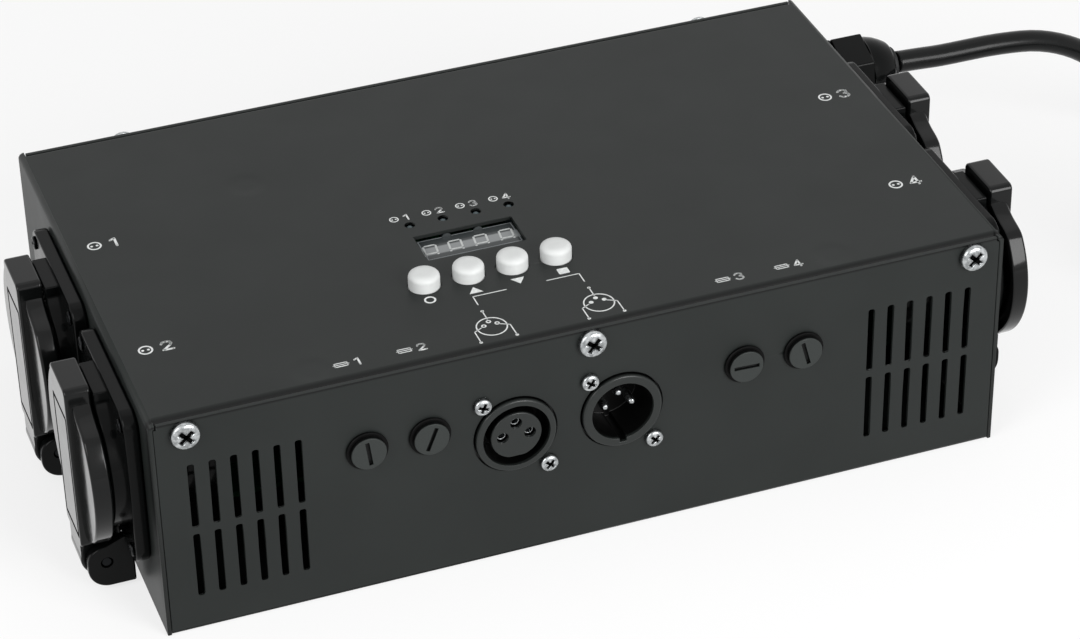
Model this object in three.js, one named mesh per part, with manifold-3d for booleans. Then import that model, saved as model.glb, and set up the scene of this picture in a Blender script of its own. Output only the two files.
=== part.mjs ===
// Four-channel dimmer pack: a flat steel box with four lidded mains sockets on its sides, two
// three-pin data sockets, four fuses, four buttons, a display and a coiled mains lead.
// Millimetres, +Z up, +X to the right seen from the front, +Y to the back.
// The origin is the middle of the case's base.
import * as THREE from "three";
import { mergeVertices } from "three/addons/utils/BufferGeometryUtils.js";
import Module from "manifold-3d";

const wasm = await Module();
wasm.setup();

// Fits and cutting allowances
const seatGap = 0.3;
const runGap = 0.3;
const overrun = 1;
const overlap = 0.2;
const weldDistance = 0.0001;

// Facets of round work
const wideSteps = 24;
const midSteps = 16;
const fineSteps = 10;
const cornerSteps = 3;
const slotEndSteps = 3;

// Case
const caseWidth = 250;
const caseDepth = 148;
const caseHeight = 71;
const sheet = 1.2;
const trayBend = 1.5;
const coverBend = 1.8;
const seamDrop = 1.8;
const lipDepth = 12;
const returnDepth = 10;

// Cover screws
const coverScrewHead = 4.1;
const coverScrewHeight = 2.5;
const coverScrewShank = 2;
const coverScrewReach = 5;
const coverScrewDrop = 4.6;
const frontScrewInset = 9.7;
const backScrewInset = 32;

// Vent slots
const ventWidth = 2;
const ventPitch = 6;
const ventColumns = 6;
const ventRows = 2;
const ventRowGap = 2.3;
const ventLipGap = 1.9;
const ventBase = 11.6;
const ventInset = 10.5;

// Mains sockets
const socketFromFront = 35;
const socketPitch = 55;
const socketTopGap = 1.9;
const flangeSide = 50;
const flangeProud = 4.4;
const flangeCorner = 5.5;
const collarRadius = 22;
const collarProud = 8.4;
const wellRadius = 19.5;
const wellWall = 1.7;
const wellDepth = 17.5;
const contactBlock = 14.9;
const contactHole = 2.6;
const contactPitch = 19;
const contactDepth = 12;
const catchWidth = 16;
const catchTop = 23.7;

// Socket lids and their hinges
const lidRadius = 25.5;
const lidGap = 0.6;
const lidThick = 4.4;
const lidFlareStart = 36.6;
const strapWidth = 17;
const strapProud = 2.9;
const tabHeight = 26.4;
const tabCorner = 2;
const labelWidth = 13;
const labelDepth = 0.4;
const labelTopMargin = 6.7;
const labelEndMargin = 1.8;
const pivotProud = 9.7;
const pivotDrop = 32.5;
const blockEndGap = 0.3;
const knuckleWidth = 11.8;
const lugThick = 3.1;
const lugRadius = 5.4;
const lugFoot = 6.1;
const lugFootDrop = 8.3;
const lugBack = 1.8;
const hingePin = 1.5;
const springWidth = 4.4;
const springWall = 1.3;
const springLegThick = 1;
const springLegLength = 9;

// Data sockets
const dataMiddleX = -7;
const dataPitch = 31.4;
const dataLipGap = 0.85;
const dataNose = 11.8;
const dataProud = 1;
const dataBodyLength = 25;
const dataPlateWidth = 26;
const dataPlateHeight = 31;
const dataPlateThick = 1.5;
const dataPlateCorner = 3;
const dataScrewAcross = 9.5;
const dataScrewUp = 12;
const dataScrewHead = 2.7;
const dataScrewHeight = 1.8;
const dataScrewShank = 1.45;
const dataScrewReach = 6;
const contactCircle = 4;
const outGroove = 9.85;
const outCore = 7.45;
const outCoreFlat = 6.3;
const outDepth = 11;
const outHole = 1.5;
const outHoleDepth = 8;
const inCup = 9.15;
const inDepth = 13;
const keyWidth = 2;
const keyDepth = 1.2;
const dataPin = 1.2;
const dataPinRecess = 3;
const dataPinTail = 4;

// Panel fuses
const leftFusesX = -56.5;
const rightFusesX = 54.5;
const fusePitch = 18;
const fuseLipGap = 4;
const holderFlange = 6.2;
const holderFlangeProud = 1;
const holderWall = 0.9;
const holderLength = 32;
const holderFloor = 3;
const capSkirt = 4.3;
const capSkirtLength = 10;
const capHead = 4.9;
const capProud = 2.4;
const capSlotWidth = 1.3;
const capSlotDepth = 1;
const capFloor = 1.2;
const fuseRadius = 2.6;
const fuseLength = 20;
const fuseGrip = 5;
const slotAngles = [-7, 22, -88, -15];

// Buttons
const buttonRadius = 4.5;
const buttonSpace = 4.03;
const buttonMiddleX = -16.1;
const buttonFromFront = 36.95;
const buttonProud = 4.4;
const buttonLip = 0.9;
const buttonLipThick = 1;
const buttonStem = 2.2;
const buttonTravel = 0.5;
const buttonCount = 4;

// Control board with its switches and lights, hung under the cover
const boardThick = 1.6;
const controlWidth = 60;
const controlDepth = 55;
const controlX = -15;
const controlFromFront = 24;
const controlDrop = 10.7;
const postRadius = 2.5;
const postTip = 1.3;
const postTipReach = 1.5;
const postInset = 4;
const switchSide = 11;
const switchBody = 3.5;
const switchPlunger = 1.7;
const switchHeight = 6.6;
const lightRadius = 1.4;
const lightDip = 0.3;
const lightHole = 1.55;
const lightPitch = 10;
const lightMiddleX = -14.6;
const lightFromFront = 67.7;
const lightCount = 4;
const plugStripWidth = 20;
const plugStripDepth = 5;
const plugStripHeight = 8;

// Display
const windowWidth = 29.65;
const windowDepth = 13.3;
const windowX = -15.9;
const windowFromFront = 54.85;
const displayMargin = 0.3;
const displayRecess = 3.2;

// Power board, heat sink and transformer
const standoffRadius = 3;
const standoffHeight = 6.5;
const powerFromFront = 44;
const powerFromBack = 36;
const powerSideMargin = 6;
const standoffInset = 5;
const terminalWidth = 10;
const terminalDepth = 40;
const terminalHeight = 12;
const terminalInset = 2;
const chokeRing = 7;
const chokeWire = 3;
const chokeSteps = 10;
const chokeTubeSteps = 6;
const deviceWidth = 10;
const deviceThick = 4.6;
const deviceHeight = 16;
const deviceCount = 4;
const devicePitch = 24;
const sinkLength = 110;
const sinkBase = 4;
const sinkHeight = 40;
const sinkFinCount = 7;
const sinkFinThick = 1.6;
const sinkFinDepth = 16;
const coreWidth = 32;
const coreDepth = 28;
const coreHeight = 27;
const windingWidth = 20;
const windingDepth = 36;
const windingHeight = 17;
const transformerGap = 4;
const transformerShare = 0.42;

// Cable gland
const glandFromBack = 17;
const glandDrop = 20;
const glandFlats = 21;
const glandTurn = 21;
const glandBaseProud = 6;
const glandNutProud = 16.7;
const glandDomeProud = 25.7;
const glandSealProud = 27.4;
const glandThread = 8.2;
const glandThreadProud = 14;
const glandInner = 8;
const glandInnerLength = 11;
const glandBore = 4.5;
const glandSealRadius = 5.5;
const domeRoot = 10.2;

// Mains lead: its free run, chosen by hand, as the reach from the case's side and the rise over
// the lying lead
const cordDiameter = 7;
const cordSides = 10;
const cordSteps = 11;
const cordRoute = [
  [27.7, 46.2],
  [35.5, 45.8],
  [44, 45.3],
  [65, 45],
  [79.5, 43],
  [92.5, 37.5],
  [105, 28],
  [116, 17.5],
  [127, 8],
  [140, 1.8],
  [151.5, 0],
  [159.7, 0],
];

// Coil, tie and plug
const coilRadius = 48;
const coilRadialPitch = 7.6;
const coilLayerPitch = 7.6;
const coilTurnsPerLayer = 2.5;
const coilClimbTurns = 0.5;
const coilStepsPerTurn = 24;
const coilSides = 6;
const tieThick = 1;
const tieWidth = 6;
const tieSlack = 0.5;
const tieCorner = 2;
const tieHead = 5;
const reliefLength = 30;
const reliefRoot = 4.6;
const reliefEnd = 7;
const gripRadius = 13;
const gripLength = 14;
const plugRadius = 18.7;
const plugLength = 24;
const plugPin = 2.4;
const plugPinLength = 19;
const earthWidth = 7;
const earthDepth = 3;
const floorClearance = 0.2;

// Faces worked out from the sizes above
const sideFace = caseWidth / 2;
const sideInner = sideFace - sheet;
const frontFace = -caseDepth / 2;
const backFace = caseDepth / 2;
const frontInner = frontFace + sheet;
const topInner = caseHeight - sheet;
const lipBottom = topInner - lipDepth;
const panelTop = caseHeight - seamDrop;
const trayHalf = sideInner - seatGap;
const lipFace = frontInner + seatGap;
const lipHalf = trayHalf - sheet - seatGap;
const ventLength = (lipBottom - ventLipGap - ventBase - (ventRows - 1) * ventRowGap) / ventRows;
const socketHeight = caseHeight - coverBend - socketTopGap - flangeSide / 2;
const dataHeight = lipBottom - dataLipGap - dataPlateHeight / 2;
const fuseHeight = lipBottom - fuseLipGap - holderFlange;
const glandHeight = caseHeight - glandDrop;
const cordRest = tieThick + seatGap + cordDiameter / 2;
const controlTop = caseHeight - controlDrop;
const powerBottom = sheet + standoffHeight + seatGap;
const powerTop = powerBottom + boardThick;
const socketRear = wellRadius + wellWall;
const socketRearDepth = wellDepth - collarProud + contactBlock;
const powerHalf = sideFace - socketRearDepth - powerSideMargin;
const terminalInner = powerHalf - terminalInset - terminalWidth;
const transformerX = terminalInner - transformerGap - coreWidth / 2;
const powerFront = frontFace + powerFromFront;
const powerBack = backFace - powerFromBack;
const powerDepth = powerBack - powerFront;
const holderBore = capSkirt + runGap;
const holderBarrel = holderBore + holderWall;
const controlFront = frontFace + controlFromFront;

// Finishes
function finish(color, roughness, metalness) {
  return new THREE.MeshStandardMaterial({ color, roughness, metalness });
}
const caseBlack = finish(0x36393a, 0.5, 0.35);
const blackPlastic = finish(0x151617, 0.35, 0);
const satinPlastic = finish(0x1d1f20, 0.5, 0);
const whitePlastic = finish(0xe9ebea, 0.4, 0);
const steelBright = finish(0xc9cbcc, 0.28, 1);
const springSteel = finish(0xa6a9ab, 0.35, 1);
const boardGreen = finish(0x1f5a35, 0.5, 0);
const aluminium = finish(0xb4b8ba, 0.4, 1);
const displayGrey = finish(0x3b3d3f, 0.3, 0);
const glassClear = finish(0xd9e2e2, 0.1, 0);
const rubberBlack = finish(0x101112, 0.6, 0);
const cordBlack = finish(0x121314, 0.4, 0);

const acrossX = new THREE.Vector3(1, 0, 0);
const acrossY = new THREE.Vector3(0, 1, 0);
const upward = new THREE.Vector3(0, 0, 1);
const towardFront = new THREE.Vector3(0, -1, 0);

// A closed shell becomes a solid whose faces point out, without its collapsed triangles.
function solidOf(geometry) {
  const shell = geometry.clone();
  shell.deleteAttribute("normal");
  shell.deleteAttribute("uv");
  const welded = mergeVertices(shell, weldDistance);
  const places = welded.attributes.position.array;
  const corners = welded.index.array;
  const triangles = [];
  let sixVolumes = 0;
  for (let i = 0; i < corners.length; i += 3) {
    const [a, b, c] = [corners[i], corners[i + 1], corners[i + 2]];
    if (a === b || b === c || c === a) continue;
    triangles.push(a, b, c);
    const first = new THREE.Vector3().fromArray(places, 3 * a);
    const second = new THREE.Vector3().fromArray(places, 3 * b);
    const third = new THREE.Vector3().fromArray(places, 3 * c);
    sixVolumes += first.dot(second.cross(third));
  }
  if (sixVolumes < 0) triangles.reverse();
  const mesh = new wasm.Mesh({
    numProp: 3,
    vertProperties: new Float32Array(places),
    triVerts: new Uint32Array(triangles),
  });
  return new wasm.Manifold(mesh);
}

function geometryOf(solid) {
  const mesh = solid.getMesh();
  const geometry = new THREE.BufferGeometry();
  geometry.setAttribute("position", new THREE.BufferAttribute(mesh.vertProperties, 3));
  geometry.setIndex(new THREE.BufferAttribute(mesh.triVerts, 1));
  geometry.computeVertexNormals();
  return geometry;
}

function joined(...solids) {
  return solids.reduce((whole, solid) => whole.add(solid));
}

function cut(solid, cutters) {
  return cutters.reduce((rest, cutter) => rest.subtract(cutter), solid);
}

function block([x0, x1], [y0, y1], [z0, z1]) {
  const box = new THREE.BoxGeometry(x1 - x0, y1 - y0, z1 - z0);
  box.translate((x0 + x1) / 2, (y0 + y1) / 2, (z0 + z1) / 2);
  return solidOf(box);
}

// An outline drawn across an axis (y and z, x and z, or x and y) and drawn out along it
function prism(axis, outline, from, to) {
  const shape = new THREE.Shape(outline.map(([a, b]) => new THREE.Vector2(a, b)));
  const body = new THREE.ExtrudeGeometry(shape, { depth: to - from, bevelEnabled: false });
  if (axis === "x") {
    body.applyMatrix4(new THREE.Matrix4().makeBasis(acrossY, upward, acrossX));
    body.translate(from, 0, 0);
  } else if (axis === "y") {
    body.applyMatrix4(new THREE.Matrix4().makeBasis(acrossX, upward, towardFront));
    body.translate(0, to, 0);
  } else {
    body.translate(0, 0, from);
  }
  return solidOf(body);
}

function turnToAxis(body, axis) {
  if (axis === "x") body.rotateZ(-Math.PI / 2);
  if (axis === "z") body.rotateX(Math.PI / 2);
}

// The place across an axis, in the same order as an outline
function acrossPlace(axis, a, b) {
  if (axis === "x") return [0, a, b];
  if (axis === "y") return [a, 0, b];
  return [a, b, 0];
}

function rod(axis, radius, [from, to], [a, b], steps = midSteps) {
  const body = new THREE.CylinderGeometry(radius, radius, to - from, steps);
  body.translate(0, (from + to) / 2, 0);
  turnToAxis(body, axis);
  body.translate(...acrossPlace(axis, a, b));
  return solidOf(body);
}

// A profile of radius and place along the axis, turned about that axis
function turned(axis, profile, [a, b] = [0, 0], steps = midSteps) {
  const body = new THREE.LatheGeometry(profile.map(([r, h]) => new THREE.Vector2(r, h)), steps);
  turnToAxis(body, axis);
  body.translate(...acrossPlace(axis, a, b));
  return solidOf(body);
}

function arc(a, b, radius, fromDegrees, toDegrees, steps = cornerSteps) {
  const points = [];
  for (let i = 0; i <= steps; i += 1) {
    const angle = THREE.MathUtils.degToRad(fromDegrees + ((toDegrees - fromDegrees) * i) / steps);
    points.push([a + radius * Math.cos(angle), b + radius * Math.sin(angle)]);
  }
  return points;
}

function roundedOutline([a0, a1], [b0, b1], radius) {
  return [
    ...arc(a1 - radius, b0 + radius, radius, -90, 0),
    ...arc(a1 - radius, b1 - radius, radius, 0, 90),
    ...arc(a0 + radius, b1 - radius, radius, 90, 180),
    ...arc(a0 + radius, b0 + radius, radius, 180, 270),
  ];
}

// The places of a row of equal pitch about its middle
function row(middle, pitch, count) {
  return Array.from({ length: count }, (_, i) => middle + (i - (count - 1) / 2) * pitch);
}

function piece(name, solid, material) {
  const mesh = new THREE.Mesh(geometryOf(solid), material);
  mesh.name = name;
  return mesh;
}

function throughFront(radius, x, z, steps = midSteps) {
  return rod("y", radius, [frontFace - overrun, lipFace + sheet + overrun], [x, z], steps);
}

// Places that several pieces share
const socketYs = [frontFace + socketFromFront, frontFace + socketFromFront + socketPitch];
const frontScrewXs = [-1, 0, 1].map((side) => side * (sideFace - frontScrewInset));
const backScrewXs = [-1, 1].map((side) => side * (sideFace - backScrewInset));
const coverScrewZ = caseHeight - coverScrewDrop;
const dataXs = row(dataMiddleX, dataPitch, 2);
const dataScrewPlaces = [[-dataScrewAcross, dataScrewUp], [dataScrewAcross, -dataScrewUp]];
const fuseXs = [...row(leftFusesX, fusePitch, 2), ...row(rightFusesX, fusePitch, 2)];
const buttonXs = row(buttonMiddleX, 2 * buttonRadius + buttonSpace, buttonCount);
const buttonY = frontFace + buttonFromFront;
const lightXs = row(lightMiddleX, lightPitch, lightCount);
const lightY = frontFace + lightFromFront;
const windowY = frontFace + windowFromFront;
const glandY = backFace - glandFromBack;
const postXs = [controlX - controlWidth / 2 + postInset, controlX + controlWidth / 2 - postInset];
const postYs = [controlFront + postInset, controlFront + controlDepth - postInset];
const standoffXs = [-powerHalf + standoffInset, powerHalf - standoffInset];
const standoffYs = [powerFront + standoffInset, powerBack - standoffInset];

// Tray: base, front and back panels in one folded sheet, with returns behind the cover's sides
function chassisSolid() {
  const inBend = trayBend - sheet;
  const profile = [
    [frontFace, panelTop],
    ...arc(frontFace + trayBend, trayBend, trayBend, 180, 270),
    ...arc(backFace - trayBend, trayBend, trayBend, 270, 360),
    [backFace, panelTop],
    [backFace - sheet, panelTop],
    ...arc(backFace - trayBend, trayBend, inBend, 360, 270),
    ...arc(frontFace + trayBend, trayBend, inBend, 270, 180),
    [frontInner, panelTop],
  ];
  let tray = prism("x", profile, -trayHalf, trayHalf);
  const returnTop = caseHeight - coverBend - seatGap;
  for (const side of [-1, 1]) {
    const xs = [side * trayHalf, side * (trayHalf - sheet)].sort((p, q) => p - q);
    for (const end of [-1, 1]) {
      const ys = [end * (backFace - sheet / 2), end * (backFace - sheet - returnDepth)];
      tray = tray.add(block(xs, ys.sort((p, q) => p - q), [trayBend, returnTop]));
    }
  }
  for (const x of standoffXs) {
    for (const y of standoffYs) {
      const rise = [sheet - overlap, powerBottom - seatGap];
      tray = tray.add(rod("z", standoffRadius, rise, [x, y], fineSteps));
    }
  }
  const screwHole = coverScrewShank + runGap;
  const holes = [
    ...ventCutters(),
    ...dataXs.map((x) => throughFront(dataNose + runGap, x, dataHeight, wideSteps)),
    ...dataXs.flatMap((x) => dataScrewPlaces.map(([dx, dz]) =>
      throughFront(dataScrewShank + runGap, x + dx, dataHeight + dz, fineSteps))),
    ...fuseXs.map((x) => throughFront(holderBarrel + runGap, x, fuseHeight)),
    ...frontScrewXs.map((x) => throughFront(screwHole, x, coverScrewZ, fineSteps)),
    ...backScrewXs.map((x) => backHole(screwHole, x)),
    glandHole(),
  ];
  return cut(tray, holes);
}

function glandHole() {
  const through = [trayHalf - sheet - overrun, sideFace + overrun];
  return rod("x", glandInner + runGap, through, [glandY, glandHeight]);
}

function backHole(radius, x) {
  return rod("y", radius, [-lipFace - sheet - overrun, backFace + overrun], [x, coverScrewZ], fineSteps);
}

function ventCutters() {
  const cutters = [];
  const half = ventWidth / 2;
  for (const side of [-1, 1]) {
    for (let column = 0; column < ventColumns; column += 1) {
      const x = side * (sideFace - ventInset - column * ventPitch);
      for (let line = 0; line < ventRows; line += 1) {
        const base = ventBase + line * (ventLength + ventRowGap);
        const outline = [
          ...arc(x, base + half, half, 180, 360, slotEndSteps),
          ...arc(x, base + ventLength - half, half, 0, 180, slotEndSteps),
        ];
        cutters.push(prism("y", outline, frontFace - overrun, frontInner + overrun));
      }
    }
  }
  return cutters;
}

// Cover: top and sides in one folded sheet, with lips that the screws hold behind the panels
function coverSolid() {
  const inBend = coverBend - sheet;
  const bendX = sideFace - coverBend;
  const bendZ = caseHeight - coverBend;
  const profile = [
    [-sideFace, seatGap],
    [-sideInner, seatGap],
    ...arc(-bendX, bendZ, inBend, 180, 90),
    ...arc(bendX, bendZ, inBend, 90, 0),
    [sideInner, seatGap],
    [sideFace, seatGap],
    ...arc(bendX, bendZ, coverBend, 0, 90),
    ...arc(-bendX, bendZ, coverBend, 90, 180),
  ];
  let cover = prism("y", profile, frontFace, backFace);
  const lipZ = [lipBottom, topInner + overlap];
  for (const end of [-1, 1]) {
    const strip = [end * -lipFace, end * (backFace + overrun)].sort((p, q) => p - q);
    cover = cover.subtract(block([-sideInner, sideInner], strip, [-overrun, caseHeight + overrun]));
    const lip = [end * -lipFace, end * (-lipFace - sheet)].sort((p, q) => p - q);
    cover = cover.add(block([-lipHalf, lipHalf], lip, lipZ));
  }
  for (const x of postXs) {
    for (const y of postYs) {
      cover = cover.add(rod("z", postRadius, [controlTop + seatGap, topInner + overlap], [x, y], fineSteps));
      const tip = [controlTop - boardThick - postTipReach, topInner];
      cover = cover.add(rod("z", postTip, tip, [x, y], fineSteps));
    }
  }
  const throughTop = [topInner - overrun, caseHeight + overrun];
  const throughSide = [sideInner - overrun, sideFace + overrun];
  const throughOtherSide = [-sideFace - overrun, -sideInner + overrun];
  const screwHole = coverScrewShank + runGap;
  const holes = [
    block(
      [windowX - windowWidth / 2, windowX + windowWidth / 2],
      [windowY - windowDepth / 2, windowY + windowDepth / 2],
      throughTop,
    ),
    ...lightXs.map((x) => rod("z", lightHole, throughTop, [x, lightY], fineSteps)),
    ...buttonXs.map((x) => rod("z", buttonRadius + runGap, throughTop, [x, buttonY])),
    ...socketYs.map((y) => rod("x", socketRear + runGap, throughSide, [y, socketHeight], wideSteps)),
    ...socketYs.map((y) => rod("x", socketRear + runGap, throughOtherSide, [y, socketHeight], wideSteps)),
    glandHole(),
    ...frontScrewXs.map((x) => throughFront(screwHole, x, coverScrewZ, fineSteps)),
    ...backScrewXs.map((x) => backHole(screwHole, x)),
  ];
  return cut(cover, holes);
}

// Pan head screw pointing to the back, its seat at y = 0
const panCrownShares = [[0.72, 0.9], [1, 0.42]];
const recessWidthShare = 0.3;
const recessLengthShare = 1.15;
const recessDepthShare = 0.5;
function screwSolid(headRadius, headHeight, shankRadius, reach) {
  const profile = [
    [0, reach],
    [shankRadius, reach],
    [shankRadius, -seatGap],
    [headRadius, -seatGap],
    ...panCrownShares.map(([r, h]) => [r * headRadius, -h * headHeight]).reverse(),
    [0, -headHeight],
  ];
  const narrow = (headRadius * recessWidthShare) / 2;
  const long = (headRadius * recessLengthShare) / 2;
  const depth = [-headHeight - overrun, -headHeight * (1 - recessDepthShare)];
  return cut(turned("y", profile, [0, 0], fineSteps), [
    block([-narrow, narrow], depth, [-long, long]),
    block([-long, long], depth, [-narrow, narrow]),
  ]);
}

function coverScrews() {
  const solid = screwSolid(coverScrewHead, coverScrewHeight, coverScrewShank, coverScrewReach);
  const screws = [];
  frontScrewXs.forEach((x, i) => {
    const screw = piece(`front_cover_screw_${i + 1}`, solid, steelBright);
    screw.position.set(x, frontFace, coverScrewZ);
    screws.push(screw);
  });
  backScrewXs.forEach((x, i) => {
    const screw = piece(`back_cover_screw_${i + 1}`, solid, steelBright);
    screw.position.set(x, backFace, coverScrewZ);
    screw.rotation.z = Math.PI;
    screws.push(screw);
  });
  return screws;
}

// Socket faces, measured outwards from the case's side
const lidBack = collarProud + lidGap;
const lidFront = lidBack + lidThick;
const strapFront = lidFront + strapProud;
const knuckleRadius = strapFront - pivotProud;
const blockEnd = -pivotDrop + lugRadius + blockEndGap;
const lugInner = knuckleWidth / 2 + runGap;
const lugOuter = lugInner + lugThick;
const flangeHalf = flangeSide / 2;
const springOuter = hingePin + runGap + springWall;

// Hinge lug: round over the pin, with a rounded foot and a flat underside
function lugSolid(side) {
  const footBottom = -pivotDrop - lugFootDrop;
  const outline = [
    [lugBack, overlap - flangeHalf],
    [lugBack, footBottom],
    ...arc(pivotProud + lugRadius - lugFoot, footBottom + lugFoot, lugFoot, -90, 0),
    ...arc(pivotProud, -pivotDrop, lugRadius, 0, 90),
    [flangeProud, overlap - flangeHalf],
  ];
  const across = [side * lugInner, side * lugOuter].sort((p, q) => p - q);
  return prism("y", outline, ...across);
}

function socketBodySolid() {
  const wellFloor = collarProud - wellDepth;
  const flangeSpan = [-flangeHalf, flangeHalf];
  const body = joined(
    prism("x", roundedOutline(flangeSpan, flangeSpan, flangeCorner), seatGap, flangeProud),
    rod("x", collarRadius, [flangeProud - overlap, collarProud], [0, 0], wideSteps),
    rod("x", socketRear, [-socketRearDepth, flangeProud], [0, 0], wideSteps),
    block([flangeProud - overlap, collarProud], [-catchWidth / 2, catchWidth / 2], [wellRadius, catchTop]),
    lugSolid(-1),
    lugSolid(1),
  );
  const contacts = row(0, contactPitch, 2).map((y) =>
    rod("x", contactHole, [wellFloor - contactDepth, wellFloor + overrun], [y, 0], fineSteps));
  return cut(body, [
    rod("x", wellRadius, [wellFloor, collarProud + overrun], [0, 0], wideSteps),
    ...contacts,
    pinCutter(),
  ]);
}

function pinCutter() {
  const through = [-lugOuter - overrun, lugOuter + overrun];
  return rod("y", hingePin + runGap, through, [pivotProud, -pivotDrop], fineSteps);
}

// A round lid, drawn in on both sides of its tab
const flareShares = [
  [0.784, 0.62],
  [0.675, 0.647],
  [0.573, 0.69],
  [0.486, 0.745],
  [0.416, 0.8],
  [0.325, 0.824],
];
function lidOutline() {
  const flare = flareShares.map(([across, up]) => [across * lidRadius, up * lidRadius]);
  const round = arc(0, 0, lidRadius, 180 - lidFlareStart, 360 + lidFlareStart, wideSteps);
  return [...round, ...flare, ...flare.map(([across, up]) => [-across, up]).reverse()];
}

function lidSolid() {
  const strapHalf = strapWidth / 2;
  const knuckleHalf = knuckleWidth / 2;
  const depth = [lidBack, strapFront];
  const disc = prism("x", lidOutline(), lidBack, lidFront);
  const strapOutline = roundedOutline([-strapHalf, strapHalf], [blockEnd, tabHeight], tabCorner);
  const strap = prism("x", strapOutline, ...depth);
  const bridge = block(depth, [-knuckleHalf, knuckleHalf], [-pivotDrop, blockEnd + tabCorner]);
  const knuckle = rod("y", knuckleRadius, [-knuckleHalf, knuckleHalf], [pivotProud, -pivotDrop]);
  const pocketHalf = springWidth / 2 + runGap;
  const label = block(
    [strapFront - labelDepth, strapFront + overrun],
    [-labelWidth / 2, labelWidth / 2],
    [blockEnd + labelEndMargin, tabHeight - labelTopMargin],
  );
  return cut(joined(disc, strap, bridge, knuckle), [
    label,
    pinCutter(),
    rod("y", springOuter + runGap, [-pocketHalf, pocketHalf], [pivotProud, -pivotDrop], fineSteps),
    block(
      [pivotProud - knuckleRadius - overrun, pivotProud],
      [-pocketHalf, pocketHalf],
      [-pivotDrop - knuckleRadius - overrun, -pivotDrop + knuckleRadius],
    ),
  ]);
}

function hingePinSolid() {
  const half = lugOuter - runGap;
  return rod("y", hingePin, [-half, half], [pivotProud, -pivotDrop], fineSteps);
}

// Coil of the lid spring, drawn as a sleeve, with the leg that bears on the flange
function lidSpringSolid() {
  const half = springWidth / 2;
  const legX = flangeProud + seatGap;
  const legFoot = -pivotDrop + hingePin + runGap;
  const sleeve = joined(
    rod("y", springOuter, [-half, half], [pivotProud, -pivotDrop], fineSteps),
    block([legX, pivotProud], [0, half], [legFoot, legFoot + springLegThick]),
    block([legX, legX + springLegThick], [0, half], [legFoot, -pivotDrop + springLegLength]),
  );
  return sleeve.subtract(pinCutter());
}

function sockets() {
  const body = socketBodySolid();
  const lid = lidSolid();
  const pin = hingePinSolid();
  const spring = lidSpringSolid();
  const groups = [];
  for (const [sideName, side] of [["left", -1], ["right", 1]]) {
    socketYs.forEach((y, i) => {
      const name = `${sideName}_${["front", "rear"][i]}`;
      const group = new THREE.Group();
      group.position.set(side * sideFace, y, socketHeight);
      if (side < 0) group.rotation.z = Math.PI;
      group.add(
        piece(`${name}_socket`, body, blackPlastic),
        piece(`${name}_lid`, lid, satinPlastic),
        piece(`${name}_hinge_pin`, pin, steelBright),
        piece(`${name}_lid_spring`, spring, springSteel),
      );
      groups.push(group);
    });
  }
  return groups;
}

// Data socket shell, measured from the front panel's face and the socket's middle
function dataShell() {
  const plateX = [-dataPlateWidth / 2, dataPlateWidth / 2];
  const plateZ = [-dataPlateHeight / 2, dataPlateHeight / 2];
  const plateBack = sheet + seatGap + dataPlateThick;
  const plate = prism("y", roundedOutline(plateX, plateZ, dataPlateCorner), sheet + seatGap, plateBack);
  const nose = rod("y", dataNose, [-dataProud, dataBodyLength], [0, 0], wideSteps);
  const screwHoles = dataScrewPlaces.map(([x, z]) =>
    rod("y", dataScrewShank + runGap, [0, plateBack + overrun], [x, z], fineSteps));
  const screwWays = dataScrewPlaces.map(([x, z]) =>
    rod("y", dataScrewHead, [plateBack, dataScrewReach + overrun], [x, z], fineSteps));
  return cut(joined(plate, nose), [...screwHoles, ...screwWays]);
}

function contactPlaces() {
  return [180, 90, 0].map((degrees) => {
    const angle = THREE.MathUtils.degToRad(degrees);
    return [contactCircle * Math.cos(angle), contactCircle * Math.sin(angle)];
  });
}

function dataOutSolid() {
  const floor = -dataProud + outDepth;
  const groove = rod("y", outGroove, [-dataProud - overrun, floor], [0, 0], wideSteps);
  const coreLength = [-dataProud - 2 * overrun, floor + overrun];
  const flatLength = [coreLength[0] - overrun, coreLength[1] + overrun];
  const flat = block([-outCore, outCore], flatLength, [-outCore - overrun, -outCoreFlat]);
  const core = rod("y", outCore, coreLength, [0, 0]).subtract(flat);
  const contacts = contactPlaces().map((place) =>
    rod("y", outHole, [-dataProud - overrun, -dataProud + outHoleDepth], place, fineSteps));
  return cut(dataShell(), [groove.subtract(core), ...contacts]);
}

function dataInSolid() {
  const floor = -dataProud + inDepth;
  const keyBottom = -inCup - keyDepth;
  const contacts = contactPlaces().map((place) =>
    rod("y", dataPin + runGap, [floor - overrun, dataBodyLength + overrun], place, fineSteps));
  return cut(dataShell(), [
    rod("y", inCup, [-dataProud - overrun, floor], [0, 0], wideSteps),
    block([-keyWidth / 2, keyWidth / 2], [-dataProud - overrun, floor], [keyBottom, 0]),
    ...contacts,
  ]);
}

function dataPinSolid([x, z]) {
  const tip = -dataProud + dataPinRecess;
  const shoulder = tip + dataPin;
  const profile = [
    [0, tip],
    [dataPin / 2, tip],
    [dataPin, shoulder],
    [dataPin, dataBodyLength + dataPinTail],
    [0, dataBodyLength + dataPinTail],
  ];
  return turned("y", profile, [x, z], fineSteps);
}

function dataSockets() {
  const screw = screwSolid(dataScrewHead, dataScrewHeight, dataScrewShank, dataScrewReach);
  const kinds = [["data_out", dataOutSolid()], ["data_in", dataInSolid()]];
  return kinds.map(([name, solid], i) => {
    const group = new THREE.Group();
    group.position.set(dataXs[i], frontFace, dataHeight);
    group.add(piece(`${name}_socket`, solid, satinPlastic));
    if (name === "data_in") {
      contactPlaces().forEach((place, pin) =>
        group.add(piece(`${name}_pin_${pin + 1}`, dataPinSolid(place), steelBright)));
    }
    dataScrewPlaces.forEach(([x, z], place) => {
      const mesh = piece(`${name}_screw_${place + 1}`, screw, steelBright);
      mesh.position.set(x, 0, z);
      group.add(mesh);
    });
    return group;
  });
}

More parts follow.
